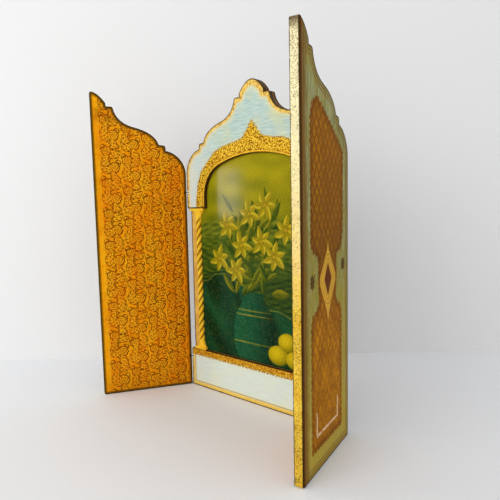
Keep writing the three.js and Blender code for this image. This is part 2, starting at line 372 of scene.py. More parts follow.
def add_field(mesh, field, values):
    """Stores one number, vector or colour at every point, under a name that materials can read."""
    kinds = {1: ("FLOAT", "value"), 3: ("FLOAT_VECTOR", "vector"), 4: ("FLOAT_COLOR", "color")}
    kind, key = kinds[values.shape[1] if values.ndim > 1 else 1]
    layer = mesh.attributes.new(field, kind, "POINT")
    layer.data.foreach_set(key, np.ascontiguousarray(values, np.float32).ravel())


# %% [markdown]
# ## Distance fields
# Gilders lay out their work with lines struck at set distances from an edge. The same idea drives
# the ornament here: for each point of a board, the distance to a drawn line is worked out once and
# stored, negative inside a closed shape. A shader then paints a line, a border or a stamped band
# wherever that distance is right, and stays sharp between the points.


# %% Distance to a path
def path_distance(points, path):
    """For each point, the distance to a path and how far along the path the nearest place lies:
    the point is projected onto every segment in turn, and the nearest is kept."""
    best, along = np.full(len(points), 1e9), np.zeros(len(points))
    starts = path_length(path)
    for start, a, b in zip(starts, path[:-1], path[1:]):
        way = b - a
        t = np.clip((points - a) @ way / max(way @ way, 1e-9), 0, 1)
        gap = np.linalg.norm(points - a - t[:, None] * way, axis=1)
        nearer = gap < best
        best = np.where(nearer, gap, best)
        along = np.where(nearer, start + t * math.sqrt(way @ way), along)
    return best, along


def inside_path(points, path):
    """Whether each point lies inside a closed path: a ray towards +X crosses it an odd number of
    times."""
    inside = np.zeros(len(points), bool)
    for (ax, az), (bx, bz) in zip(path, np.roll(path, -1, axis=0)):
        spans = (az > points[:, 1]) != (bz > points[:, 1])
        rise = bz - az if bz != az else 1e-9
        inside ^= spans & (points[:, 0] < ax + (points[:, 1] - az) / rise * (bx - ax))
    return inside


def shape_field(points, corners, tooth=0.0, pitch=6.0):
    """Signed distance to a closed shape, negative inside, with scalloped teeth along its border."""
    path = np.array(corners, float)
    closed = np.concatenate([path, path[:1]])
    gap, along = path_distance(points, closed)
    signed = np.where(inside_path(points, path), -gap, gap)
    return signed - tooth * np.abs(np.sin(math.pi * along / pitch)) + tooth / 2


def mirrored_path(path):
    """A right half that starts on the middle line, led round from the far left end to the right."""
    return np.concatenate([path[:0:-1] * [-1, 1], path])


full_outline = mirrored_path(half_outline)
print("full outline:", len(full_outline), "points")

# %% [markdown]
# ## Formulas that work for shapes and for paint
# The doors' gilding is stamped with a vine scroll. Its raised parts have to be in the mesh and its
# fine lines in the paint, and the two have to agree. So the ornament is written once, as plain
# arithmetic, and runs on two kinds of number: arrays of points for the mesh, and wires between
# Math nodes for the shader.


# %% Numbers that are wires
class Wire:
    """A number in a shader: doing arithmetic with it adds Math nodes and gives the next wire."""

    def __init__(self, tree, socket):
        self.tree, self.socket = tree, socket

    def math(self, operation, *values):
        node = self.tree.nodes.new("ShaderNodeMath")
        node.operation = operation
        for slot, value in zip(node.inputs, values):
            if isinstance(value, Wire):
                self.tree.links.new(value.socket, slot)
            else:
                slot.default_value = float(value)
        return Wire(self.tree, node.outputs[0])


def operators(operation):
    """The two methods of an operator, for a wire on its left and for one on its right."""
    return (lambda self, other: self.math(operation, self, other),
            lambda self, other: self.math(operation, other, self))


Wire.__add__, Wire.__radd__ = operators("ADD")
Wire.__sub__, Wire.__rsub__ = operators("SUBTRACT")
Wire.__mul__, Wire.__rmul__ = operators("MULTIPLY")
Wire.__truediv__ = operators("DIVIDE")[0]
Wire.__lt__ = operators("LESS_THAN")[0]
Wire.__mod__ = operators("FLOORED_MODULO")[0]


def either(array_function, operation):
    """A function that works on arrays, or on wires through one kind of Math node."""
    def run(*values):
        wires = [v for v in values if isinstance(v, Wire)]
        return wires[0].math(operation, *values) if wires else array_function(*values)
    return run


sine, cosine = either(np.sin, "SINE"), either(np.cos, "COSINE")
root, size_of = either(np.sqrt, "SQRT"), either(np.abs, "ABSOLUTE")
angle_of = either(np.arctan2, "ARCTAN2")
lesser, greater = either(np.minimum, "MINIMUM"), either(np.maximum, "MAXIMUM")


def ease(value, low, high):
    """0 below low and 1 above high, straight in between; it falls if high is the smaller."""
    return lesser(greater((value - low) / (high - low), 0.0), 1.0)


def line_at(gap, middle, outer, inner):
    """A line: 1 where a distance is within inner of the line's middle, and 0 beyond outer."""
    return ease(size_of(gap - middle), outer, inner)


# %% The stamped vine
VINE_PITCH = 26.25  # from one band to the next
VINE_EDGE = 7.2  # where the first band starts, from the hinge edge
VINE_PERIOD, VINE_STEP = 82.0, 20.5  # height after which the stamp repeats, and from rose to rose
VEIN_PITCH = 2.6  # from one carved line to the next
VINE_FIT = 0.96  # the stamp is a little wider than the formula's
# Each rose: across, up, radius, petals, how much its petals wind
ROSES = []
# Each leaf: across and up of its foot, length, half width, direction, how much it curls
LEAVES = []
draw = np.random.default_rng(12)
for step in range(4):
    side, y = (1, -1)[step % 2], -14.0 - VINE_STEP * step
    away = math.pi if side > 0 else 0.0  # leaves fill the half that the rose leaves free
    a, b, c, d = draw.uniform(-0.2, 0.2, 4).tolist()
    LEAVES += [
        (side * 1.0, y - 5.6 + b, 12.5, 4.3, math.pi - away + side * (a - 0.42), 0.06 * side),
        (side * -0.2, y + 3.6, 11.5, 4.0, away - side * (b + 0.62), -0.05 * side),
        (side * 0.8, y - 4.2, 13.6, 4.3, away - side * (c - 0.62), 0.08 * side),
        (side * 0.4, y - 0.6, 12.6, 4.2, away - side * d, 0.05 * side * (1, 1, -1, -1)[step]),
        (side * 6.6, y + 6.0, 6.0, 2.6, math.pi - away + side * (d + 0.9), 0.20 * side),
    ]
    ROSES.append((side * 4.5, y + a * 4, 6.9 + c * 3, 3, 0.16 * side))
LEAVES += [(x, y + VINE_PERIOD, *rest) for x, y, *rest in LEAVES if y < -79]


def vine_rose(x, y, place):
    """A round flower. With r the distance from its middle and t the angle, the petals' borders lie
    where r * pi / pitch + 2.2 * |sin(petals * t / 2)| is a whole number of half turns: nested arcs
    that dip between the petals. The winding turns the deeper arcs against the outer ones."""
    across, up, radius, petals, winding = place
    dx, dy = x - across, y - up
    reach = root(dx * dx + dy * dy + 0.01)
    turn = angle_of(dy, dx)
    lobe = size_of(sine((turn + reach * winding) * (petals / 2)))
    edge = reach - radius * (0.86 + 0.14 * size_of(sine(turn * 3.5)))
    vein = size_of(sine(reach * (math.pi / VEIN_PITCH) + lobe * 2.2)) * (VEIN_PITCH / math.pi)
    return edge, vein


def vine_leaf(x, y, place):
    """A leaf with claws. Measured from its foot, along its bent middle line and aside from it, the
    carved lines lie where (0.82 * aside - 0.57 * along) * pi / pitch is a whole number of half
    turns, so they slant forward on both halves. The half width is a half circle's, cut in by the
    claws."""
    across, up, length, half_width, direction, curl = place
    dx, dy = x - across, y - up
    reach = root(dx * dx + dy * dy + 0.01)
    turn = angle_of(dy, dx) - direction + reach * curl
    along, aside = reach * cosine(turn), size_of(reach * sine(turn))
    claw = size_of(sine((aside * 0.82 - along * 0.57) * (math.pi / VEIN_PITCH)))
    part = along * (1 / length)
    round_half = root(greater(part * (1.0 - part) * 4.0, 0.0))
    side = aside - round_half * (0.66 + 0.34 * claw) * half_width
    edge = greater(side, greater(along - length, 0.0 - along))
    return edge, claw * (VEIN_PITCH / math.pi)


def vine_scroll(x, y):
    """The whole stamp in one band: a winding stem, then leaves, then roses, the last one on top.
    Returns the distance to the nearest outline and the distance to the nearest carved line."""
    stem = size_of(x - 5.5 * sine(y * (4 * math.pi / VINE_PERIOD) + 0.4)) * 0.8 - 1.0
    edge, vein = stem, size_of(stem) + 2.0
    for shape, places in ((vine_leaf, LEAVES), (vine_rose, ROSES)):
        for place in places:
            next_edge, next_vein = shape(x, y, place)
            pick = (next_edge < lesser(edge, 0.8)) * 1.0
            vein = vein + pick * (next_vein - vein)
            edge = lesser(edge, next_edge) * (1.0 - pick * 0.6) + next_edge * pick * 0.6
    return edge, vein


def in_band(across, height):
    """Door coordinates turned into one band's own: across from its middle, and up within a period,
    which starts higher in each next band."""
    x = (across - VINE_EDGE) % VINE_PITCH - VINE_PITCH / 2
    y = (height + (across - x) * 1.13) % VINE_PERIOD - VINE_PERIOD
    return x, y


print("vine of", len(ROSES), "roses and", len(LEAVES), "leaves every", VINE_PERIOD, "mm")

# %% [markdown]
# ## The doors
# Each door is half of the outline, cut from board. Its inner face is gilded and stamped in four
# bands, its outer face is painted and carries a gilt ornament, and its arrises are rubbed down to
# the bole and the wood. The mesh is worked out with the door closed, where its coordinates are
# simple, and then turned about the hinge axis to stand open as the frame has it.


# %% The ornament on the outer face
UPPER_PANEL = [
    (16, 301.5), (53.5, 326.5), (83.5, 343), (97, 336.5), (101, 322), (101, 214), (96, 206),
    (88, 203), (83.5, 199), (79, 190), (40, 190), (36, 201), (30, 203), (22, 206), (17.5, 222),
]
LOWER_PANEL = [
    (42, 166), (78, 166), (82, 158), (88, 153), (97, 149), (101, 141), (101, 21), (21, 21),
    (21, 141), (25, 149), (33, 153), (38, 158),
]
WAIST_PANEL = [(36, 203), (83, 203), (84, 178), (81, 154), (38, 154), (35, 178)]
RING_MIDDLE = (59.0, 178.0)
LOZENGE_RING = [
    (0, 38.5), (2.6, 28), (7, 23), (12, 15.5), (20.5, 4), (20.5, -3), (12.5, -15), (8, -22),
    (3.5, -31), (0, -41.5), (-3.5, -31), (-8, -22), (-12.5, -15), (-20.5, -3), (-20.5, 4),
    (-12, 15.5), (-7, 23), (-2.6, 28),
]
LOZENGE_HEART = [(0, 17), (9.6, 1), (0, -16), (-9.6, 1)]
FLEURON = [
    (0, 8), (2, 5), (6, 6.5), (4.5, 2.5), (6.5, 0), (4.5, -2.5), (6, -6.5), (2, -5), (0, -8),
    (-2, -5), (-6, -6.5), (-4.5, -2.5), (-6.5, 0), (-4.5, 2.5), (-6, 6.5), (-2, 5),
]
FLEURON_MIDDLES = ((17, 189), (97.5, 180))
WORN_LINE = [(33.5, 55), (33.5, 35), (88.5, 35), (88.5, 56)]
DIAPER_W, DIAPER_H = 11.0, 15.0  # spacing of the small lozenges that cover the panels


def door_fields(across, height):
    """The distance fields of the outer face, from its hinge edge and its foot, in millimetres."""
    places = np.stack([across, height], 1)
    panels = np.min([
        shape_field(places, UPPER_PANEL, 2.4, 6.6),
        shape_field(places, LOWER_PANEL, 2.4, 6.6),
        shape_field(places, WAIST_PANEL, 1.2, 5.0),
    ], axis=0)
    ring = shape_field(places - RING_MIDDLE, LOZENGE_RING, 0.8, 4.0)
    heart = shape_field(places - RING_MIDDLE, LOZENGE_HEART)
    fleurons = np.minimum(*[shape_field(places - middle, FLEURON) for middle in FLEURON_MIDDLES])
    worn = path_distance(places, np.array(WORN_LINE, float))[0]
    silhouette = np.concatenate([half_outline, [[HALF_WIDTH, 0], [0, 0], [0, HEIGHT]]])
    rim = path_distance(np.stack([HALF_WIDTH - across, height], 1), silhouette)[0]
    return dict(panel=panels, ring=ring, heart=heart, fleuron=fleurons, worn_line=worn, rim=rim)


# %% A door's mesh
COLUMN_STEP, ROW_STEP = 1.3, 1.52
DOOR_LAYERS = [1.2, 2.0, 3.3, 5.2, 7.2]  # rows across the thickness
TOP_START = 285.0  # the height above which a door is squeezed to follow its top
DOOR_CORNER_R = 3.0
RELIEF = 0.28  # height of the stamped vine
DOOR_CHIPS, FRONT_CHIPS = 0.55, 0.5  # how far wear takes an edge in, as a share of its radius


def door_lattice():
    """The box that becomes a door: columns crowd where the outline is steep, rows at the hinges."""
    columns = outline_points(COLUMN_STEP)[:, 0]
    columns = columns[(columns > 1.5) & (columns < HALF_WIDTH - 4.2)]
    us = edge_steps(DOOR_FREE, HALF_WIDTH, np.concatenate([columns, HALF_WIDTH - NEAR_EDGE]))
    rows = even_steps(0, HEIGHT, ROW_STEP)
    nicks = nick_rows(HINGE_HEIGHTS)
    rows = rows[np.min(np.abs(rows[:, None] - nicks), axis=1) > 0.5]
    vs = edge_steps(0, HEIGHT, np.concatenate([rows, nicks]))
    return us, vs, edge_steps(0, DOOR_T, DOOR_LAYERS)


def soften_corners(u, v, radius):
    """Rounds the two corners of the free edge. With a and b the depths into a corner's square as
    shares of its size, the square is pressed into a quarter disc: a becomes a * sqrt(1 - b * b / 2)
    and b becomes b * sqrt(1 - a * a / 2)."""
    a = np.clip(1 - (u - DOOR_FREE) / radius, 0, 1)
    foot, head = np.clip(1 - v / radius, 0, 1), np.clip(1 - (HEIGHT - v) / radius, 0, 1)
    b = foot + head
    grown = a * np.sqrt(1 - b * b / 2)
    lift = (b - b * np.sqrt(1 - a * a / 2)) * radius
    return u + (a - grown) * radius, v + np.where(foot > 0, lift, -lift)


def follow_top(v, top, start, nominal):
    """Squeezes heights between start and the nominal top so that they end at the real top, and
    keeps the last arris as it is."""
    squeezed = start + (v - start) * (top - ARRIS - start) / (nominal - ARRIS - start)
    near_top = top - (nominal - v)
    return np.where(v <= start, v, np.where(v < nominal - ARRIS, squeezed, near_top))


def make_door(name, side, node, body, joint, closed_angle, seed):
    """A door, worked out closed and then turned open about its hinge."""
    box, faces = box_skin(*door_lattice())
    soft = round_edges(
        box, (DOOR_FREE, 0, 0), (HALF_WIDTH, HEIGHT, DOOR_T), DOOR_CHIPS, seed)
    u, v, w = soft.T
    u, v = soften_corners(u, v, DOOR_CORNER_R)
    v = follow_top(v, np.interp(u, *half_outline.T), TOP_START, HEIGHT)
    across = HALF_WIDTH - u
    band_x, band_y = in_band(across, v)
    edge, vein = vine_scroll(band_x * VINE_FIT, band_y)
    stamped = ease(edge, 0.4, -1.4) * (0.55 + 0.45 * ease(vein, 0.1, 0.8))
    within = ease(w, 0.3, 0.0) * ease(across, 4.0, 5.5) * ease(u, 9.0, 10.5)
    w = w + RELIEF * (1 - stamped * within) * (box[:, 2] < 0.01)
    closed = np.stack([side * u, DOOR_INNER_Y - w, v], 1)
    closed = cut_nicks(closed, side, HINGE_HEIGHTS)
    axis = np.array(joint["pos_m"]) / MM
    turn = math.radians(-closed_angle)
    c, s = math.cos(turn), math.sin(turn)
    spin = np.array([[c, -s, 0], [s, c, 0], [0, 0, 1]])
    points = (closed - axis) @ spin.T + axis
    place = np.stack([across, v, box[:, 2]], 1)
    piece = new_piece(name, points, faces, body, "door_gilt", node, place=place,
                      **door_fields(across, v))
    middle = box[faces, 2].mean(1)
    set_materials(piece, np.where(middle < 0.01, 0, np.where(middle > DOOR_T - 0.01, 1, 2)))
    return piece


joints = {joint["name"]: joint for joint in frame["joints"]}
left_door = make_door("left_door_board", -1, "door_left", "left_door", joints["left_hinge"],
                      joints["left_hinge"]["range_deg"][1], 11)
right_door = make_door("right_door_board", 1, "door_right", "right_door", joints["right_hinge"],
                       joints["right_hinge"]["range_deg"][0], 23)

# %% [markdown]
# ## The arch frame
# The front of the centre panel is a second, thinner board with a basket arch cut out of it. Round
# the arch runs a stamped gilt fringe that rises to a point, and a gold line follows the outline.
# The lattice is bent round the arch: each section runs out along a ray from the middle of the
# arch's foot, so that the first millimetres follow the arch and the last ones the outline.


# %% The basket arch
def arch_points(count=60):
    """The right half of the arch from its top down: a flat arc, a small arc, a straight side."""
    corner_x = ARCH_HALF_W - ARCH_CORNER_R
    rise = ARCH_TOP - ARCH_SPRING
    drop = (corner_x**2 - (rise - ARCH_CORNER_R) ** 2) / (2 * (rise - ARCH_CORNER_R))
    flat_r, meet = rise + drop, math.atan2(drop, corner_x)
    flat = np.linspace(math.pi / 2, meet, count)
    small = np.linspace(meet, 0, count)
    return np.concatenate([
        np.stack([flat_r * np.cos(flat), ARCH_SPRING - drop + flat_r * np.sin(flat)], 1),
        np.stack([corner_x + ARCH_CORNER_R * np.cos(small),
                  ARCH_SPRING + ARCH_CORNER_R * np.sin(small)], 1)[1:],
        [[ARCH_HALF_W, ARCH_BOTTOM]],
    ])


FRINGE_EDGE = [
    (0, 352.3), (1.8, 349.0), (4.6, 347.8), (4.4, 345.0), (8.2, 342.4), (8.0, 339.6),
    (12.4, 337.6), (13.2, 334.4), (19.8, 331.6), (29.1, 329.1), (48.2, 326.4), (66.5, 320),
    (79.3, 308.6), (92.6, 295.5), (98.6, 281.6), (102.9, 260), (102.9, 240),
]
FRINGE_TOOTH, FRINGE_PITCH = 1.4, 2.9
BAND_EDGE, BAND_TOOTH, BAND_PITCH = 44.3, 1.6, 4.6  # the gilt band along the top of the rail
MIDWAY = 150.0  # a height between the rail and the arch frame
arch_path = mirrored_path(arch_points())
fringe_path = mirrored_path(np.array(FRINGE_EDGE, float))


def front_fields(points):
    """Distance fields of the painted front: to the outline, the arch and the fringe's edge."""
    places = points[:, [0, 2]]
    across, height = places.T
    low = height < MIDWAY
    rim = path_distance(places, full_outline)[0]
    rim = np.minimum(rim, HALF_WIDTH - np.abs(across))
    rim = np.where(low, np.minimum(rim, height), rim)
    fringe, along = path_distance(places, fringe_path)
    fringe = np.where(inside_path(places, fringe_path), -fringe, fringe)
    teeth = np.abs(np.sin(math.pi * along / FRINGE_PITCH))
    fringe = fringe - FRINGE_TOOTH * teeth + FRINGE_TOOTH / 2
    teeth = np.abs(np.sin(math.pi * across / BAND_PITCH))
    band = BAND_EDGE - height + BAND_TOOTH * teeth - BAND_TOOTH / 2 + 0.5 * np.sin(across * 0.9)
    arch = path_distance(places, arch_path)[0]
    return dict(rim=rim, fringe=np.where(low, band, fringe), arch=arch, place=points)


# %% The arch frame's mesh
FAN_MIDDLE = np.array([0, ARCH_BOTTOM])
NOMINAL_DEPTH, KEPT_DEPTH = 60.0, 17.0  # of the unbent box, and how much of it keeps its shape
GILT_RISE, LINE_RISE = 0.3, 0.15


def raise_gilding(points, fields, front):
    """Lifts the stamped gilding and the gold line off the front face, by up to 0.3 mm."""
    grain = 0.55 + 0.45 * np.clip(ripple(points, 2.6, 71) + ripple(points, 1.7, 72), -1, 1)
    fringe = ease(fields["fringe"], 0.2, -0.8) * grain
    line = ease(size_of(fields["rim"] - 3.2), 1.4, 0.6)
    lift = np.maximum(GILT_RISE * fringe, LINE_RISE * line)
    return points + np.stack([0 * lift, np.where(front, GILT_RISE - lift, 0), 0 * lift], 1)


def new_front(name, node, points, faces, layer, hinge_heights):
    """A front board from its points and their layers: gilding raised, nicks cut, and the second
    material on every face that isn't in the front layer."""
    fields = front_fields(points)
    points = raise_gilding(points, fields, layer > FRONT_T - 0.01)
    for side in (-1, 1):
        points = cut_nicks(points, side, hinge_heights)
    piece = new_piece(name, points, faces, "centre", "painted_front", node, **fields)
    set_materials(piece, np.where(layer[faces].mean(1) > FRONT_T - 0.01, 0, 1))
    return piece


def make_arch_frame():
    """The box skin bent round the arch: along the outline, out from the arch, and back to front."""
    outer = mirrored_path(outline_points(BOARD_STEP))
    foot = even_steps(ARCH_BOTTOM, half_outline[-1, 1], BOARD_STEP)[:-1]
    sides = np.stack([np.full(len(foot), HALF_WIDTH), foot], 1)
    outer = np.concatenate([sides * [-1, 1], outer, sides[::-1]])
    run = path_length(outer)
    nicks = nick_rows([HINGE_HEIGHTS[1] - ARCH_BOTTOM])
    nicks = np.concatenate([nicks, run[-1] - np.array(nicks)])
    along = edge_steps(0, run[-1], np.concatenate([run, nicks]))
    depths = edge_steps(0, NOMINAL_DEPTH, np.concatenate([
        even_steps(1.2, KEPT_DEPTH, 0.85),
        even_steps(KEPT_DEPTH + 1.15, NOMINAL_DEPTH - EDGE_BAND, 1.15),
        NOMINAL_DEPTH - NEAR_EDGE,
    ]))
    layers = edge_steps(0, FRONT_T, FRONT_LAYERS)
    box, faces = box_skin(along, depths, layers)
    soft = round_edges(box, (0, 0, 0), (run[-1], NOMINAL_DEPTH, FRONT_T), FRONT_CHIPS, 31)
    rim = np.stack([np.interp(soft[:, 0], run, outer[:, k]) for k in (0, 1)], 1)
    spoke = rim - FAN_MIDDLE
    reach = np.linalg.norm(spoke, axis=1)
    angle = np.arctan2(spoke[:, 1], spoke[:, 0])
    arch_spokes = arch_path - FAN_MIDDLE
    arch_angles = np.arctan2(arch_spokes[:, 1], arch_spokes[:, 0])
    inner = np.interp(-angle, -arch_angles, np.linalg.norm(arch_spokes, axis=1))
    deep = follow_top(soft[:, 1], reach - inner, KEPT_DEPTH, NOMINAL_DEPTH)
    places = FAN_MIDDLE + spoke / reach[:, None] * (inner + deep)[:, None]
    points = np.stack([places[:, 0], FRONT_BACK_Y - soft[:, 2], places[:, 1]], 1)
    return new_front("arch_front", "arch_frame", points, faces, box[:, 2], HINGE_HEIGHTS[1:])


arch_front = make_arch_frame()

# %% [markdown]
# ## The base rail
# Below the print a plain rail carries the foot of the panel. It is painted like the arch frame,
# with a gilt band that hangs from its top in small teeth and a gold line round its other sides.


# %% The base rail's mesh
RAIL_STEP = 1.05


def make_base_rail():
    """A rounded box between the floor and the print, its front face lifted where it is gilt."""
    xs = even_steps(EDGE_BAND - HALF_WIDTH, HALF_WIDTH - EDGE_BAND, RAIL_STEP)
    xs = np.concatenate([xs, NEAR_EDGE - HALF_WIDTH, HALF_WIDTH - NEAR_EDGE])
    xs = edge_steps(-HALF_WIDTH, HALF_WIDTH, xs)
    nicks = nick_rows(HINGE_HEIGHTS[:1])
    zs = even_steps(1, RAIL_H, RAIL_STEP)
    zs = zs[np.min(np.abs(zs[:, None] - nicks), axis=1) > 0.4]
    zs = edge_steps(0, RAIL_H, np.concatenate([zs, nicks]))
    box, faces = box_skin(xs, zs, edge_steps(0, FRONT_T, FRONT_LAYERS))
    soft = round_edges(
        box, (-HALF_WIDTH, 0, 0), (HALF_WIDTH, RAIL_H, FRONT_T), FRONT_CHIPS, 37)
    points = np.stack([soft[:, 0], FRONT_BACK_Y - soft[:, 2], soft[:, 1]], 1)
    return new_front("base_rail_front", "base_rail", points, faces, box[:, 2], HINGE_HEIGHTS[:1])


base_rail = make_base_rail()

# %% [markdown]
# ## The rope columns
# Two half-round columns flank the print, carved as a three-strand rope that flares into a plate at
# each end. They could be turned and then filed by hand. Here one section after another is stacked
# up: its radius follows the strands, which turn with height, and swells out in a hollow curve near
# the plates.

# %% Column sizes
COLUMN_X, COLUMN_BACK_Y = 104.4, 2.2
ROPE_R, ROPE_STRANDS, ROPE_PITCH, ROPE_GROOVE = 4.5, 3, 10.8, 0.30
PLATE_H, PLATE_DEPTH, CAPITAL_HALF_W, FOOT_HALF_W, FLARE_H = 3.2, 4.9, 13.0, 10.8, 16.0
COLUMN_LOW, COLUMN_HIGH = RAIL_H + GLUE_GAP, ARCH_BOTTOM - GLUE_GAP
FRONT_POINTS, BACK_POINTS = 37, 7  # points of each ring round the front and on the flat back


def column_rows():
    """The heights of the sections and, for each, 1 in a plate and 0 in the flare or the rope."""
    low, high = COLUMN_LOW, COLUMN_HIGH
    heights = [low, low + 0.25, low + 1.2, low + 2.2, low + PLATE_H - 0.25, low + PLATE_H]
    rope = even_steps(low + PLATE_H, high - PLATE_H, 0.5)
    top = [high + low - h for h in heights[::-1]]
    square = [1] * len(heights) + [0] * len(rope) + [1] * len(top)
    return np.concatenate([heights, rope, top]), np.array(square)


def column_sections(heights, square):
    """Half width, depth and strength of the twist at each height: a hollow quarter round that dies
    into the rope, or the plate's own width with its ends rounded over."""
    from_foot = (heights - COLUMN_LOW - PLATE_H) / FLARE_H
    from_top = (COLUMN_HIGH - PLATE_H - heights) / FLARE_H
    plate = np.where(from_foot < from_top, FOOT_HALF_W, CAPITAL_HALF_W)
    along = np.clip(np.minimum(from_foot, from_top), 0, 1)
    flare = (1 - np.sqrt(along * (2 - along))) * 0.9
    ends = np.isclose(heights, COLUMN_LOW) | np.isclose(heights, COLUMN_HIGH)
    ends |= np.isclose(heights, COLUMN_LOW + PLATE_H) | np.isclose(heights, COLUMN_HIGH - PLATE_H)
    half_w = np.where(square, plate - 0.25 * ends, ROPE_R + (plate - ROPE_R) * flare)
    depth = np.where(square, PLATE_DEPTH - 0.25 * ends, ROPE_R + (PLATE_DEPTH - ROPE_R) * flare)
    twist = np.clip((along - 0.35) / 0.55, 0, 1)
    return half_w, depth, twist * twist * (3 - 2 * twist) * (1 - square)


def lid_faces(row, hub):
    """Four-cornered faces that close a ring: each takes the hub and three points of the ring."""
    ring = np.arange(0, len(row), 2)
    corners = [row[(ring + k) % len(row)] for k in range(3)]
    return np.stack([np.full(len(ring), hub), *corners], 1)


def make_column(name, side, node):
    """Rings of points stacked up: a strand-shaped front, a flat back, and a cap at each end."""
    heights, square = column_rows()
    half_w, depth, twist = (a[:, None] for a in column_sections(heights, square))
    angles = np.linspace(math.pi, 2 * math.pi, FRONT_POINTS)[None, :]
    strand = ROPE_STRANDS * angles / 2 - math.pi * heights[:, None] / ROPE_PITCH
    radius = 1 - ROPE_GROOVE * twist * (1 - np.abs(np.sin(strand)) ** 0.8)
    squared = square[:, None] / np.maximum(np.abs(np.cos(angles)), np.abs(np.sin(angles)))
    radius = radius * (1 - square[:, None]) + squared
    x = half_w * radius * np.cos(angles)
    y = depth * radius * np.sin(angles)
    back = np.linspace(1, -1, BACK_POINTS + 2)[None, 1:-1]
    x = np.concatenate([x, half_w * radius[:, -1:] * back], 1)
    y = np.concatenate([y, 0 * back + 0 * half_w], 1)
    count = x.shape[1]
    z = np.repeat(heights, count).reshape(-1, count)
    points = np.stack([side * COLUMN_X + x, COLUMN_BACK_Y + np.minimum(y, 0), z], -1).reshape(-1, 3)
    middles = np.array([[side * COLUMN_X, COLUMN_BACK_Y - 1, heights[k]] for k in (0, -1)])
    number = np.arange(len(heights) * count).reshape(-1, count)
    wrapped = np.concatenate([number, number[:, :1]], 1)
    walls = sheet_faces(wrapped)
    foot, top = lid_faces(number[0], number.size), lid_faces(number[-1], number.size + 1)
    faces = np.concatenate([walls, foot, top[:, ::-1]])
    points = np.concatenate([points, middles])
    groove = twist * (1 - np.abs(np.sin(strand)))
    groove = np.concatenate([groove, np.zeros((len(heights), BACK_POINTS))], 1)
    groove = np.concatenate([groove.ravel(), [0, 0]])
    return new_piece(name, points, faces, "centre", "gold_leaf", node, groove=groove, place=points)


columns = [make_column("rope_column_left", -1, "column_left"),
           make_column("rope_column_right", 1, "column_right")]

# %% [markdown]
# ## The print
# Under the arch lies a varnished paper print. It shows a still life made up for this lesson: pale
# lilies and leaves in a teal urn, lemons and a teal cloth, in front of soft green hills and an
# olive sky. It is painted as a printer would lay it down, one shape over the last, onto the points
# of a fine grid.


# %% The print's mesh
PRINT_T = 0.5
FITTED_ABOVE = 200.0  # the height above which the print is squeezed to fit the arch


def make_print():
    """A thin board whose top follows the arch and whose foot runs in under the columns."""
    half_w, peak = COLUMN_X + ROPE_R - GLUE_GAP, ARCH_TOP - GLUE_GAP
    arch_x, arch_z = (arch_points()[:-1] - GLUE_GAP).T
    inner = even_steps(-ARCH_HALF_W + 0.6, ARCH_HALF_W - 0.6, 1.12)
    outer = [[ARCH_HALF_W - 0.3, ARCH_HALF_W - 0.1], even_steps(ARCH_HALF_W + 1, half_w, 1.3)]
    outer = np.concatenate(outer)
    xs = np.unique(np.concatenate([-outer, inner, outer]))
    box, faces = box_skin(xs, even_steps(RAIL_H + GLUE_GAP, peak, 1.15), np.array([0, PRINT_T]))
    size, up = np.abs(box[:, 0]), box[:, 1] - FITTED_ABOVE
    arch = np.interp(size, np.maximum(arch_x, 0), arch_z)
    top = np.where(size > ARCH_HALF_W - 0.2, ARCH_BOTTOM - GLUE_GAP, arch)
    fitted = FITTED_ABOVE + up * (top - FITTED_ABOVE) / (peak - FITTED_ABOVE)
    z = np.where(up > 0, fitted, box[:, 1])
    return np.stack([box[:, 0], FRONT_BACK_Y - box[:, 2], z], 1), faces


# %% Brushes
def lay(canvas, mask, color):
    """Lays a colour over the canvas where the mask says, from 0 to 1."""
    color = np.asarray(color, float)
    return canvas + np.clip(mask, 0, 1)[:, None] * (color - canvas)


def tint(dark, light, amount):
    """Colours between a dark and a light one, as seen, for an array of amounts."""
    return np.array(dark, float) + np.clip(amount, 0, 1)[:, None] * (np.array(light, float) - dark)


def leaf(canvas, x, z, foot, length, width, heading, dark, light):
    """A pointed leaf or petal: across, it is widest near its middle, as the root of a sine; its lit
    side is light, its other side dark, and a rib runs down its middle."""
    a = math.radians(heading)
    along = ((x - foot[0]) * math.cos(a) + (z - foot[1]) * math.sin(a)) / length
    across = -(x - foot[0]) * math.sin(a) + (z - foot[1]) * math.cos(a)
    across = across + 0.12 * length * along * along
    half = width * np.sin(math.pi * np.clip(along, 0, 1) ** 0.8) ** 0.9
    mask = np.clip((half - np.abs(across)) / 0.9 + 0.4, 0, 1) * (along > 0) * (along < 1)
    lit = 0.5 + 0.45 * across / np.maximum(half, 0.3) + 0.25 * (along - 0.4)
    lit = lit - 0.5 * np.exp(-((across / 0.5) ** 2))
    return lay(canvas, mask, tint(dark, light, lit))


def ball(canvas, x, z, middle, radius, dark, light):
    """A round fruit lit from the upper left, darker towards its rim."""
    dx, dz = (x - middle[0]) / radius[0], (z - middle[1]) / radius[1]
    far = np.sqrt(dx * dx + dz * dz)
    mask = np.clip((1 - far) * radius[0] / 0.9 + 0.3, 0, 1)
    lit = 0.9 - 0.55 * far**2 - 0.35 * (dx - dz) / 1.4
    return lay(canvas, mask, tint(dark, light, lit))


# %% Behind the urn
HILLS = [  # height, dark colour, light colour; from the farthest to the nearest
    (236, (84, 98, 22), (134, 138, 36)), (212, (60, 82, 20), (112, 122, 28)),
    (186, (40, 66, 20), (90, 104, 26)), (160, (26, 50, 20), (68, 86, 24)),
]


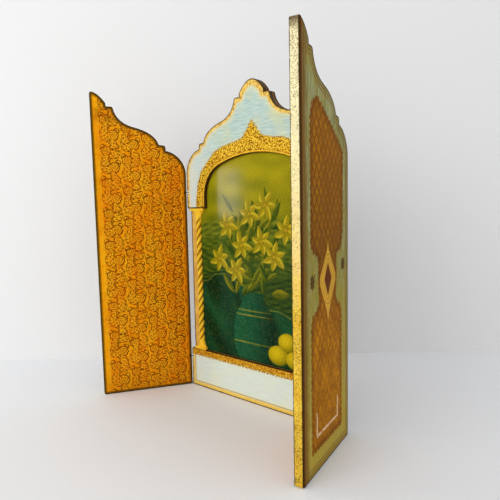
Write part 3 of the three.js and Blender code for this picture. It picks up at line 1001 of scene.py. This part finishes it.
def paint_ground(x, z, flat):
    """The sky, the hills, and a cloth whose folds are one sine bent by others, with a gold hem."""
    cloud = ripple(flat * [0.4, 1], 22, 81)
    canvas = tint((122, 122, 14), (184, 168, 18), (z - 200) / 110 + 0.25 * cloud)
    for level, (height, dark, light) in enumerate(HILLS):
        ridge = height + 7 * ripple(flat * [1, 0], 70, 90 + level)
        ridge = ridge + 2.5 * ripple(flat * [1, 0], 17, 95 + level)
        stroke = 0.5 + 0.5 * ripple(flat * [0.35, 1], 7, 99 + level)
        canvas = lay(canvas, (ridge - z) / 1.5, tint(dark, light, stroke))
    fold = 14 * np.sin(x * 0.045 + 0.6) + 5 * np.sin(x * 0.11 + z * 0.03)
    top = 142 + 22 * np.cos((x + 62) * 0.028) + 3 * ripple(flat * [1, 0], 30, 61)
    lit = 0.5 * np.sin((x * 0.9 + z * 0.55 + fold) * 0.16) * np.sin(x * 0.05 + z * 0.012 + 1)
    lit = 0.5 + lit + 0.12 * ripple(flat, 4, 62)
    canvas = lay(canvas, (top - z) / 1.2, tint((2, 34, 22), (16, 78, 48), lit))
    return lay(canvas, 0.9 - np.abs(top - 3.5 - z) / 1.2, (168, 152, 40))


# %% The urn, the lilies and the lemons
URN_X, URN_Z, URN_HALF_W, URN_HALF_H = -6, 96, 37, 46
URN_BANDS = (118, 112, 76)
BUNCH_Z, LEAF_COUNT, PETALS = 176, 70, 6
LILIES = [  # places round the middle of the bunch
    (-20, 24), (-44, 50), (14, 30), (34, 12), (-6, 64), (-60, 6), (52, 44), (-30, -8), (20, 74),
]
LEMONS = [((32, 68), (16, 12.5)), ((58, 66), (14.5, 11.5)), ((46, 86), (14, 11.5))]


def paint_urn(canvas, x, z, flat):
    """An urn whose half width is a parabola of height, with three curved gold bands."""
    dx, dz = (x - URN_X) / URN_HALF_W, (z - URN_Z) / URN_HALF_H
    half = np.clip(1.0 - 0.25 * dz - 0.55 * dz * dz, 0.42, 1) * (np.abs(dz) < 1)
    body = (half - np.abs(dx)) * URN_HALF_W
    lit = 0.62 - 0.5 * dx - 0.35 * dx * dx + 0.08 * ripple(flat, 12, 63)
    canvas = lay(canvas, body / 1.1, tint((2, 34, 26), (26, 104, 66), lit))
    for band in URN_BANDS:
        gap = np.abs(z - band - 0.0006 * (x - URN_X) ** 2)
        gold = tint((90, 84, 14), (206, 188, 60), lit)
        canvas = lay(canvas, (body > 0) * (1 - gap / 1.2), gold)
    return canvas


def paint_bunch(canvas, x, z):
    """Leaves at random, then a star of petals and a round heart for each lily."""
    random = np.random.default_rng(5)
    for _ in range(LEAF_COUNT):
        heading = random.uniform(10, 170)
        foot = (URN_X + random.uniform(-34, 34), 150 + random.uniform(-18, 92))
        green = random.uniform(0, 1)
        dark = (20 + 46 * green, 46 + 34 * green, 8)
        light = (108 + 66 * green, 124 + 32 * green, 14 + 14 * green)
        length, width = random.uniform(20, 40), random.uniform(3.5, 6.5)
        canvas = leaf(canvas, x, z, foot, length, width, heading, dark, light)
    for dx, dz in LILIES:
        middle, turn = (URN_X + dx, BUNCH_Z + dz), random.uniform(0, 60)
        for petal in range(PETALS):
            length, heading = 17.5 + 3 * (petal % 2), turn + 360 / PETALS * petal
            canvas = leaf(canvas, x, z, middle, length, 4.6, heading, (140, 122, 8), (236, 208, 44))
        canvas = ball(canvas, x, z, middle, (2.6, 2.6), (120, 96, 14), (222, 176, 30))
    return canvas


def paint_print(points):
    """Lays the picture down from back to front and returns its colours as light amounts."""
    x, z, flat = points[:, 0], points[:, 2], points[:, [0, 2]]
    canvas = paint_urn(paint_ground(x, z, flat), x, z, flat)
    canvas = paint_bunch(canvas, x, z)
    for middle, radius in LEMONS:
        canvas = ball(canvas, x, z, middle, radius, (120, 108, 2), (240, 208, 20))
    canvas = canvas * (1 + 0.05 * ripple(flat, 5, 64) + 0.04 * ripple(flat, 2.6, 65))[:, None]
    light = as_amounts(np.clip(canvas / 255, 0, 1))
    return np.concatenate([light, np.ones((len(x), 1))], 1)


print_points, print_faces = make_print()
still_life = new_piece(
    "still_life_print", print_points, print_faces, "centre", "print", "picture_print",
    painted=paint_print(print_points), place=print_points)

# %% [markdown]
# ## Finishes
# The materials come from three effects: gilding that varies and wears, brushed paint, and the
# stamped vine. Each is a node group with named sockets, built once. A small helper adds nodes and
# takes wires, so that a material reads like a recipe: a ground colour and the coats laid over it,
# each with how much of it there is at every place.


# %% A workbench for shader nodes
def as_light(color):
    """A colour for a socket: a wire or ready light amounts as they are, three numbers as looks."""
    return color if isinstance(color, Wire) or len(color) == 4 else linear(*color)


class Bench:
    """Adds nodes to one node tree; a value given as a Wire is linked and anything else is set."""

    def __init__(self, tree):
        self.tree = tree

    def feed(self, socket, value):
        if isinstance(value, Wire):
            self.tree.links.new(value.socket, socket)
        else:
            socket.default_value = value

    def give(self, node, **inputs):
        """Feeds sockets by name, with an underscore for each space."""
        for key, value in inputs.items():
            self.feed(node.inputs[key.replace("_", " ")], value)

    def node(self, kind, settings=None, **inputs):
        node = self.tree.nodes.new(kind)
        for key, value in (settings or {}).items():
            setattr(node, key, value)
        self.give(node, **inputs)
        return node

    def wire(self, node, output=0):
        return Wire(self.tree, node.outputs[output])

    def field(self, name, output="Fac"):
        """A number, or with output Vector or Color a vector or colour, stored on the mesh."""
        return self.wire(self.node("ShaderNodeAttribute", {"attribute_name": name}), output)

    def object_place(self):
        """Object coordinates in millimetres."""
        scaled = self.node("ShaderNodeVectorMath", {"operation": "SCALE"}, Scale=1 / MM)
        self.feed(scaled.inputs[0], self.wire(self.node("ShaderNodeTexCoord"), "Object"))
        return self.wire(scaled)

    def ragged(self, name, by, *noise):
        """A number stored on the mesh, made uneven by noise."""
        return self.field(name) + (self.noise(*noise) - 0.5) * by

    def split(self, vector):
        """The three numbers of a vector."""
        node = self.node("ShaderNodeSeparateXYZ", Vector=vector)
        return [self.wire(node, k) for k in range(3)]

    def stretch(self, vector, by):
        """A Mapping node: the vector scaled along each axis."""
        return self.wire(self.node("ShaderNodeMapping", Vector=vector, Scale=by))

    def noise(self, vector, scale, detail=3.0, roughness=0.55):
        """Soft noise, 0 to 1; scale is how many lumps there are to a unit of the vector."""
        return self.wire(self.node("ShaderNodeTexNoise", Vector=vector, Scale=scale, Detail=detail,
                                   Roughness=roughness), "Fac")

    def cells(self, vector, scale):
        """Distance to the nearest of a scatter of points."""
        return self.wire(self.node("ShaderNodeTexVoronoi", Vector=vector, Scale=scale), "Distance")

    def mix(self, amount, first, second):
        """A colour between two, by an amount from 0 to 1."""
        node = self.node("ShaderNodeMix", {"data_type": "RGBA"})
        for index, value in ((0, amount), (6, as_light(first)), (7, as_light(second))):
            self.feed(node.inputs[index], value)
        return self.wire(node, 2)

    def coats(self, color, *coats):
        """Lays coats over a colour; each is how much of it there is, and its own colour."""
        for amount, tone in coats:
            color = self.mix(amount, color, tone)
        return color

    def group(self, tree, **inputs):
        """Places a node group and returns its outputs by name."""
        node = self.tree.nodes.new("ShaderNodeGroup")
        node.node_tree = tree
        for key, value in inputs.items():
            self.feed(node.inputs[key], as_light(value) if isinstance(value, tuple) else value)
        return {output.name: Wire(self.tree, output) for output in node.outputs}


def new_group(name, inputs, outputs):
    """An empty shader node group with named sockets: kinds are Vector, Color or Float."""
    tree = bpy.data.node_groups.new(name, "ShaderNodeTree")
    for direction, sockets in (("INPUT", inputs), ("OUTPUT", outputs)):
        for socket, kind in sockets.items():
            tree.interface.new_socket(
                name=socket, in_out=direction, socket_type="NodeSocket" + kind)
    start, end = tree.nodes.new("NodeGroupInput"), tree.nodes.new("NodeGroupOutput")
    given = {socket: Wire(tree, start.outputs[socket]) for socket in inputs}
    return tree, Bench(tree), given, end


# %% [markdown]
# ### Gilding
# Leaf laid over red bole is never even: it lets the bole through in patches, darkens in the
# hollows and picks up specks of dirt. One flat gold would look like plastic, so the group mixes a
# light and a dark gold with soft noise, and lays bole and specks over them.

# %% Gilding group
DIRT, FLY_SPECK = (0.07, 0.035, 0.012, 1), (0.18, 0.20, 0.18, 1)

gilding, bench, given, end = new_group(
    "gilding",
    {"Place": "Vector", "Light": "Color", "Dark": "Color", "Bole": "Color", "Wear": "Float"},
    {"Color": "Color", "Roughness": "Float", "Height": "Float"},
)
place = given["Place"]
patches, grains = bench.noise(place, 0.06, 4, 0.6), bench.noise(place, 0.55, 4, 0.75)
shade = ease(patches * 0.8 + grains * 0.9, 0.62, 1.08)
bare = ease(bench.noise(place, 0.22, 5, 0.7) + given["Wear"] * 0.3, 0.72, 0.80)
speck = ease(bench.cells(place, 0.34) + bench.noise(place, 1.7, 2) * 0.16, 0.20, 0.14)
bench.give(
    end,
    Color=bench.coats(
        given["Dark"], (shade, given["Light"]), (bare * 0.8, given["Bole"]), (speck * 0.8, DIRT)),
    Roughness=0.36 + grains * 0.25 + bare * 0.2,
    Height=grains * 0.6 + patches * 0.6 - bare * 0.5 - speck,
)
print("gilding group:", len(gilding.nodes), "nodes")

# %% [markdown]
# ### Brushed paint
# The mint and sage paints were put on thinly with a wide brush, so they show long streaks, a
# yellowed varnish in places and a few dark flecks. Noise stretched along the brush stroke gives
# the streaks.

# %% Brushed paint group
brushed, bench, given, end = new_group(
    "brushed_paint",
    {"Place": "Vector", "Stroke": "Vector", "Light": "Color", "Dark": "Color", "Stain": "Color"},
    {"Color": "Color", "Height": "Float"},
)
place = given["Place"]
streaks = bench.noise(given["Stroke"], 1.0, 5, 0.65)
clouds = ease(bench.noise(place, 0.035, 3), 0.50, 0.72)
fleck = ease(bench.cells(place, 0.085) + bench.noise(place, 1.2, 2) * 0.05, 0.075, 0.055)
bench.give(
    end,
    Color=bench.coats(
        given["Dark"], (ease(streaks, 0.36, 0.66), given["Light"]), (clouds * 0.6, given["Stain"]),
        (fleck * 0.75, FLY_SPECK)),
    Height=streaks,
)
print("brushed paint group:", len(brushed.nodes), "nodes")


# %% Starting and ending a material
def new_material(name, on_cad=False):
    """An empty node material, a bench to add to it, its Principled shader, and the place to paint
    by: stored on the mesh or, for a CAD part, its object coordinates."""
    material = bpy.data.materials.new(name)
    material.use_nodes = True
    bench = Bench(material.node_tree)
    place = bench.object_place() if on_cad else bench.field("place", "Vector")
    return material, bench, bench.tree.nodes["Principled BSDF"], place


def finish_material(bench, shader, color, roughness, height, depth, metallic=0.0, shine=0.2,
                    sheen=(1, 1, 1, 1)):
    """Feeds the shader: colour, roughness, a bump whose full height is depth in metres, metallic,
    how strong its shine is, and the colour of that shine."""
    bump = bench.node("ShaderNodeBump", Height=height, Distance=depth, Strength=1.0)
    bench.give(
        shader, Base_Color=color, Roughness=roughness, Metallic=metallic,
        Specular_IOR_Level=shine, Specular_Tint=sheen, Normal=bench.wire(bump, "Normal"))


def dress(pieces, *materials):
    """Gives pieces their materials, in order."""
    for piece in pieces:
        for material in materials:
            piece.data.materials.append(material)
    print([piece.name for piece in pieces], "in", [material.name for material in materials])


AMBER_SHEEN, GOLD_SHEEN = linear(255, 196, 60), linear(255, 220, 120)
BROWN = (0.045, 0.024, 0.004, 1)

# %% [markdown]
# ### The inner faces of the doors
# Amber varnish over gold leaf, with the vine stamped into it: dark outlines, veins, a painted
# highlight on the raised crests between the veins, and a plain lighter line between the bands. The
# vine's formula is run a second time here, on wires.

# %% The stamp as paint
STAMP_FROM, STAMP_TO = 4.2, 111.2  # where the stamped field starts and ends, from the hinge edge

vine, bench, given, end = new_group(
    "stamped_vine", {"Place": "Vector"},
    {"Line": "Float", "Raised": "Float", "Rim": "Float", "Stripe": "Float"},
)
place = given["Place"]
across, height, _ = bench.split(place)
warp = bench.noise(place, 0.13, 3) - 0.5
lean = bench.noise(bench.stretch(place, (1.07, 1, 0.93)), 0.10, 3) - 0.5
band_x, band_y = in_band(across + warp * 3.0, height + lean * 3.6)
edge, vein = vine_scroll(band_x * VINE_FIT, band_y)
inside = ease(edge, -0.3, -0.9)
line = greater(ease(size_of(edge), 0.76, 0.30), ease(vein, 0.52, 0.18) * inside * 0.85)
in_field = ease(across, STAMP_FROM, STAMP_FROM + 1) * ease(across, STAMP_TO + 1.2, STAMP_TO)
in_field = in_field * ease(height, 2.0, 4.0)
stripe = ease(size_of(band_x), VINE_PITCH / 2 - 1.5, VINE_PITCH / 2 - 0.9)
bench.give(
    end,
    Line=line * in_field,
    Raised=ease(edge, 0.3, -1.2) * in_field,
    # painted highlight on the raised crests between the carved lines of a leaf or rose
    Rim=ease(vein, 0.55, 0.85) * inside * in_field,
    Stripe=stripe * ease(across, 5.0, 8.0),
)
print("stamped vine group:", len(vine.nodes), "nodes")

# %% Stamped gilding
stamped_gilding, bench, shader, place = new_material("stamped_amber_gilding")
across, height, _ = bench.split(place)
gold = bench.group(gilding, Place=place, Light=(255, 186, 26), Dark=(255, 148, 0),
                   Bole=(190, 84, 0), Wear=0.08)
stamp = bench.group(vine, Place=place)
pressed = bench.noise(place, 0.035, 3) * 0.6 + bench.noise(place, 0.16, 3) * 0.9
pressed = lesser(ease(pressed, 0.55, 0.88) * 0.5 + 0.65, 1.0)
plain = ease(across, STAMP_TO, STAMP_TO + 1.4)  # the border by the free edge
curls = ease(size_of(bench.noise(place, 0.30, 2) - 0.5), 0.035, 0.012)
curls = curls * (1.0 - stamp["Raised"]) * (1.0 - plain)
soot = ease(bench.noise(place, 0.05, 4, 0.7) + ease(height, 330, 400) * 0.16, 0.60, 0.74)
grime = ease(height, 46, 0) * 0.3 + ease(bench.noise(place, 0.022, 3), 0.52, 0.7) * 0.22
flush = bench.noise(bench.stretch(place, (1.0, 0.4, 1.0)), 0.05, 4, 0.6)
rim = bench.ragged("rim", 1.8, place, 0.35, 3)
color = bench.coats(
    gold["Color"],
    (ease(across, 48, 8) * 0.42, (190, 84, 0)),  # redder towards the hinge
    # painted highlight on the crests between the carved lines
    (stamp["Rim"] * 0.5, (255, 196, 44)),
    (stamp["Stripe"] * 0.8, (255, 184, 26)),
    (plain * 0.4, (255, 190, 22)),
    (curls * 0.5, (150, 62, 0)),  # small curls between the leaves
    (stamp["Line"] * pressed, (70, 20, 0)),
    (soot * 0.5, (120, 60, 2)),
    (grime, (158, 92, 2)),
    (ease(bench.noise(place, 0.11, 4, 0.7), 0.48, 0.70) * 0.28, (176, 80, 0)),  # mottling
    (ease(flush, 0.42, 0.66) * 0.34, (232, 98, 0)),  # orange varnish
    (ease(rim, 4.6, 2.8) * 0.85, (84, 58, 8)),  # a dull line along the outline
    (ease(rim, 2.5, 1.3) * 0.95, BROWN),  # the bare arris
)
relief = stamp["Raised"] * 0.6 - stamp["Line"] * 0.9 + gold["Height"] * 0.5
finish_material(bench, shader, color, gold["Roughness"], relief, 0.0005,
                shine=0.4, sheen=AMBER_SHEEN)

# %% [markdown]
# ### The outer faces of the doors
# Sage paint, gold lines that follow the top, and a large ornament of two panels joined at a waist
# by a pale gold lozenge. The panels are covered in a diaper of small lozenges, drawn here from the
# place on the face by two families of slanting lines.

# %% Sage paint
outer_paint, bench, shader, place = new_material("sage_paint_and_ornament")
across, height, _ = bench.split(place)
paint = bench.group(brushed, Place=place, Stroke=bench.stretch(place, (0.9, 0.06, 1)),
                    Light=(190, 194, 148), Dark=(108, 108, 58), Stain=(156, 136, 40))
aged = bench.noise(bench.stretch(place, (0.5, 0.04, 1)), 0.5, 4, 0.6)
aged = ease(aged + ease(height, 340, 120) * 0.28, 0.42, 0.80)
sage = bench.coats(
    paint["Color"],
    (aged * 0.75, (146, 128, 16)),  # olive varnish
    (ease(height, 190, 40) * 0.55, (196, 166, 60)),  # warmer towards the foot
)

# %% The panels and their diaper
gold = bench.group(gilding, Place=place, Light=(224, 148, 0), Dark=(134, 78, 0),
                   Bole=(112, 44, 2), Wear=0.45)
drift = bench.noise(place, 0.09, 3) * 0.7
slant_up = (across / DIAPER_W + height / DIAPER_H + drift) * math.pi
slant_down = (across / DIAPER_W - height / DIAPER_H) * math.pi
diaper = lesser(size_of(sine(slant_up)), size_of(sine(slant_down)))
panel = bench.ragged("panel", 3.4, place, 0.32, 3, 0.7)
low_gold = ease(height, 190, 80) * 0.62  # the gold is better kept low down
ornament = bench.coats(
    (148, 92, 0),
    (ease(diaper, 0.42, 0.60) * 0.55 + low_gold, gold["Color"]),  # the middles of the lozenges
    (ease(diaper, 0.20, 0.06) * (0.55 - low_gold * 0.6), (74, 42, 0)),  # their borders
    (ease(panel, -9.0, -5.0) * 0.4, (124, 66, 0)),  # a redder border
    (ease(height, 300, 215) * ease(height, 185, 200) * 0.4, (88, 52, 0)),  # dirt over the waist
    (ease(size_of(panel + 3.4), 1.0, 0.4) * 0.5, (80, 42, 0)),  # a line inside the border
    (ease(bench.noise(place, 0.7, 3, 0.7), 0.52, 0.66) * 0.55, (84, 48, 0)),  # stippling
    (ease(size_of(panel), 1.0, 0.4) * 0.6, (80, 44, 0)),  # the outline
)

# %% The whole outer face
ring, heart = bench.field("ring"), bench.field("heart")
in_panel, in_ring = ease(panel, 0.35, -0.35), ease(ring, 0.3, -0.3)
gilt = greater(in_panel, in_ring)
fleuron = bench.ragged("fleuron", 6.0, place, 0.35, 4, 0.7)
worn = bench.ragged("worn_line", 2.6, place, 0.5, 3)
rubs = ease(bench.noise(place, 0.18, 3, 0.7), 0.36, 0.50) * 0.75 + 0.15
rim = bench.ragged("rim", 0.7, place, 0.4, 2)
lines = greater(line_at(rim, 4.6, 0.9, 0.4), line_at(rim, 8.2, 0.8, 0.3) * 0.9)
handled = across + (bench.noise(place, 0.12, 3) - 0.5) * 9
color = bench.coats(
    sage,
    (in_panel, ornament),
    (in_ring, bench.mix(0.6, gold["Color"], (240, 192, 70))),
    (ease(size_of(ring), 0.9, 0.4) * 0.5, (90, 50, 10)),
    *[(line_at(heart, gap, 0.8, 0.3) * in_ring * 0.6, (116, 70, 10)) for gap in (3.0, 7.4)],
    (ease(heart, 0.3, -0.3), (104, 50, 14)),  # the lozenge's red heart
    (ease(fleuron, 0.5, -0.9) * 0.9, (84, 52, 12)),
    (ease(worn, 1.8, 0.8) * rubs, (238, 206, 164)),
    (ease(rim, 12, 3) * (1.0 - gilt) * 0.45, (150, 116, 60)),  # dirt near the edges
    (lines * 0.7, (92, 62, 20)),
    (ease(handled, 104.0, 112.5) * 0.75, (118, 78, 18)),  # rubbed by hands
    (ease(across, 116.6, 117.6) * 0.95, (92, 46, 8)),  # bole along the free edge
    (ease(rim, 2.4, 1.3), BROWN),
)
relief = (in_panel * 0.6 + in_ring * 0.5 + paint["Height"] * 0.25
          - ease(diaper, 0.2, 0.08) * in_panel * 0.4)
finish_material(bench, shader, color, 0.62 - gilt * 0.1, relief, 0.0004,
                gilt * 0.1, 0.04, GOLD_SHEEN)

# %% [markdown]
# ### Edges
# The edges of the boards were gilded too, and hands have rubbed them: gold leaf, spots of
# bare bole and nearly black arrises. The upper part of the free edge is painted pale cream, a
# painted highlight of light from above.

# %% Worn gilt edge
worn_edge, bench, shader, place = new_material("worn_gilt_edge")
across, height, thick = bench.split(place)
gold = bench.group(gilding, Place=place, Light=(255, 222, 84), Dark=(244, 184, 44),
                   Bole=(196, 116, 44), Wear=0.18)
# Painted highlight: the free edge is painted paler and creamier towards its top, where light from
# above falls.
top_highlight = ease(height + (bench.noise(place, 0.05, 2) - 0.5) * 90, 150, 310)
arris = lesser(thick - 0.1, DOOR_T - thick) + (bench.noise(place, 0.5, 4, 0.7) - 0.5) * 1.2
crowd = (bench.noise(place, 0.045, 2) * 0.12 + ease(height, 330, 390) * 0.04
         + ease(height, 200, 60) * 0.05)
pits = ease(bench.noise(place, 1.1, 4, 0.8) + crowd, 0.64, 0.68)
clumps = ease(bench.noise(place, 0.20, 4, 0.75) + crowd, 0.70, 0.76)
free_edge = bench.coats(
    gold["Color"],
    # painted highlight on the upper part of the free edge
    (top_highlight * 0.85, (255, 248, 204)),
    (ease(arris, 1.2, 0.7), BROWN),
    (pits * 0.9, (92, 56, 6)),
    (clumps * 0.6, (150, 80, 24)),
    (ease(height, 388, 397) * 0.85, (84, 54, 26)),  # the peak
)
other_edges = bench.mix(0.8, free_edge, BROWN)
color = bench.mix(ease(across, 115.0, 119.0), other_edges, free_edge)
finish_material(bench, shader, color, gold["Roughness"], gold["Height"] - pits * 0.6, 0.0006,
                shine=0.3, sheen=GOLD_SHEEN)
dress([left_door, right_door], stamped_gilding, outer_paint, worn_edge)

# %% [markdown]
# ### The painted front
# The arch frame and the base rail share one finish: mint paint, a gold line a little way in from
# the edge, and the stamped gilding of the fringe, whose small round punch marks are cells.

# %% The fringe's gilding
painted_front, bench, shader, place = new_material("mint_paint_and_gilt_fringe")
across, _, height = bench.split(place)
gold = bench.group(gilding, Place=place, Light=(255, 214, 56), Dark=(226, 162, 14),
                   Bole=(176, 92, 14), Wear=0.1)
punch, grit = bench.cells(place, 0.62), bench.noise(place, 0.8, 3, 0.7)
low = ease(height, MIDWAY, MIDWAY - 50)  # 1 on the base rail, 0 on the arch frame
high = 1.0 - low
stamped = bench.coats(
    gold["Color"],
    (ease(grit, 0.52, 0.62) * 0.45, (168, 98, 0)),
    (ease(punch + grit * 0.6, 0.80, 0.94) * 0.85, (112, 60, 0)),  # dirt round the punch marks
    # painted highlight on the raised top of each punch mark
    (ease(punch, 0.42, 0.2) * 0.8, (255, 228, 90)),  # the punch marks
    (low * ease(height, 43, 48) * 0.45, (186, 110, 14)),  # the rail's band darkens upwards
)

# %% The whole front
paint = bench.group(brushed, Place=place, Stroke=bench.stretch(place, (0.05, 0.3, 1.1)),
                    Light=(204, 220, 206), Dark=(150, 182, 182), Stain=(206, 206, 150))
fringe = bench.ragged("fringe", 4.2, place, 0.42, 4, 0.7)
rim = bench.ragged("rim", 1.4, place, 0.25, 3)
arch_gap = bench.field("arch")
in_fringe = ease(fringe, 0.3, -0.3)
from_rim = rim - ease(height, 366, 390) * 3.0  # the gold line widens over the peak
in_line = greater(ease(from_rim, 5.4, 3.6) * high, line_at(rim, 3.3, 2.25, 1.75) * low)
dashes = bench.noise(bench.stretch(place, (1, 1, 0.6)), 0.55, 4, 0.7)
tired = bench.mix(ease(dashes, 0.47, 0.60) * 0.85, (238, 200, 96), (150, 92, 14))
bead = line_at(arch_gap, 1.3, 1.1, 0.6) * high
color = bench.coats(
    paint["Color"],
    (low * 0.6, (236, 240, 226)),  # the rail is paler
    (ease(size_of(across), 55, 112) * high * 0.55, (226, 232, 230)),  # and so are the shoulders
    (ease(from_rim, 10.5, 4.0) * 0.7, (232, 214, 140)),  # yellowed towards the outline
    (ease(fringe, 4.0, 0.5) * 0.3, (226, 208, 120)),  # and towards the fringe
    (line_at(rim, 6.6, 1.0, 0.4) * low * 0.7, (150, 122, 30)),  # a thin line beside the gold one
    (in_line * 0.95, bench.mix(low * 0.7, tired, (246, 206, 84))),
    (in_fringe, stamped),
    (ease(size_of(fringe), 0.7, 0.25) * 0.6, (128, 78, 14)),  # the fringe's outline
    (bead * 0.7, (228, 178, 44)),
    (line_at(arch_gap, 2.8, 0.6, 0.2) * high * 0.55, (140, 74, 14)),
    (ease(rim, 1.7, 1.0) * 0.95, (66, 40, 4)),  # the bare arris
    # painted shadow: a dark line along the foot of the arch frame, above the columns
    (ease(height, ARCH_BOTTOM + 2.2, ARCH_BOTTOM + 1.2) * high * 0.9, BROWN),
)
gilt = greater(in_fringe, in_line)
relief = (in_fringe * (0.6 - punch * 1.2) * (1.0 - bead) + in_line * 0.4
          + paint["Height"] * 0.22)
finish_material(bench, shader, color, 0.56 - gilt * 0.14, relief, 0.0006,
                gilt * 0.15, 0.12, GOLD_SHEEN)

# %% Dark board edge
dark_edge, bench, shader, place = new_material("dark_stained_edge")
grain = bench.noise(bench.stretch(place, (0.05, 1.2, 0.6)), 1.0, 4, 0.6)
color = bench.mix(ease(grain, 0.4, 0.7), (52, 32, 10), (92, 60, 26))
finish_material(bench, shader, color, 0.5 + grain * 0.2, grain, 0.0003)
dress([arch_front, base_rail], painted_front, dark_edge)

# %% [markdown]
# ### Columns, print, back and wire
# The columns are gilded like the fringe, with some dirt and painted shade in the grooves between
# the strands. The print has a thin varnish coat over paper. The back board is stained wood, gilt on
# the two strips that show beside the columns. The eyes are bent from wire that has tarnished.

# %% Gilt columns
column_gold, bench, shader, place = new_material("gilt_rope")
gold = bench.group(gilding, Place=place, Light=(255, 228, 72), Dark=(248, 178, 22),
                   Bole=(160, 80, 14), Wear=0.15)
color = bench.coats(
    gold["Color"],
    # painted shade, with some dirt, in the grooves between the strands
    (ease(bench.field("groove") + bench.noise(place, 0.6, 3) * 0.4, 0.42, 0.8) * 0.8, (112, 62, 6)),
    (ease(bench.noise(place, 0.8, 3, 0.7), 0.56, 0.66) * 0.6, (120, 66, 2)),
)
finish_material(bench, shader, color, gold["Roughness"], gold["Height"], 0.0005,
                0.1, 0.3, AMBER_SHEEN)
dress(columns, column_gold)

# %% Varnished print
varnished, bench, shader, place = new_material("varnished_print")
weave = bench.noise(bench.stretch(place, (0.5, 1, 0.9)), 1.0, 5, 0.6)
color = bench.coats(
    bench.field("painted", "Color"),
    (ease(weave, 0.52, 0.72) * 0.18, (186, 190, 30)),
    (ease(weave, 0.46, 0.30) * 0.22, (20, 40, 20)),
    (0.26, (0, 46, 0)),
)
finish_material(bench, shader, color, 0.5 + weave * 0.1, weave, 0.00008, shine=0.0)
bench.give(shader, Coat_Weight=0.12, Coat_Roughness=0.09)
dress([still_life], varnished)


# %% Back board
def redress(node, material):
    """Gives a CAD node a material in place of its own."""
    node.data.materials.clear()
    node.data.materials.append(material)


backing, bench, shader, place = new_material("stained_back_board", True)
x, y, _ = bench.split(place)
grain = bench.noise(bench.stretch(place, (0.9, 1, 0.05)), 1.0, 6, 0.6)
gold = bench.group(gilding, Place=place, Light=(248, 200, 96), Dark=(206, 146, 44),
                   Bole=(140, 74, 24), Wear=0.2)
color = bench.coats(
    (58, 34, 16),
    (ease(grain, 0.35, 0.68), (98, 62, 32)),
    (ease(bench.noise(place, 0.03, 4), 0.5, 0.7) * 0.4, (70, 44, 24)),
    (ease(size_of(x), 119.7, 119.2) * ease(y, 3.7, 3.4), gold["Color"]),
)
finish_material(bench, shader, color, 0.5 + grain * 0.2, grain, 0.0003)
redress(frame["nodes"]["back_board"], backing)
print("back board in", backing.name)

# %% Tarnished wire
tarnished, bench, shader, place = new_material("tarnished_wire", True)
spots = bench.noise(place, 0.9, 4, 0.7)
color = bench.mix(ease(spots, 0.4, 0.65), (74, 56, 28), (150, 118, 62))
finish_material(bench, shader, color, 0.35 + spots * 0.3, spots, 0.00008, 0.85)
eyes = [node for name, node in frame["nodes"].items() if name.startswith("eye_")]
for eye in eyes:
    redress(eye, tarnished)
print("wire eyes finished:", len(eyes))

# %% Sizes and finish
low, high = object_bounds()
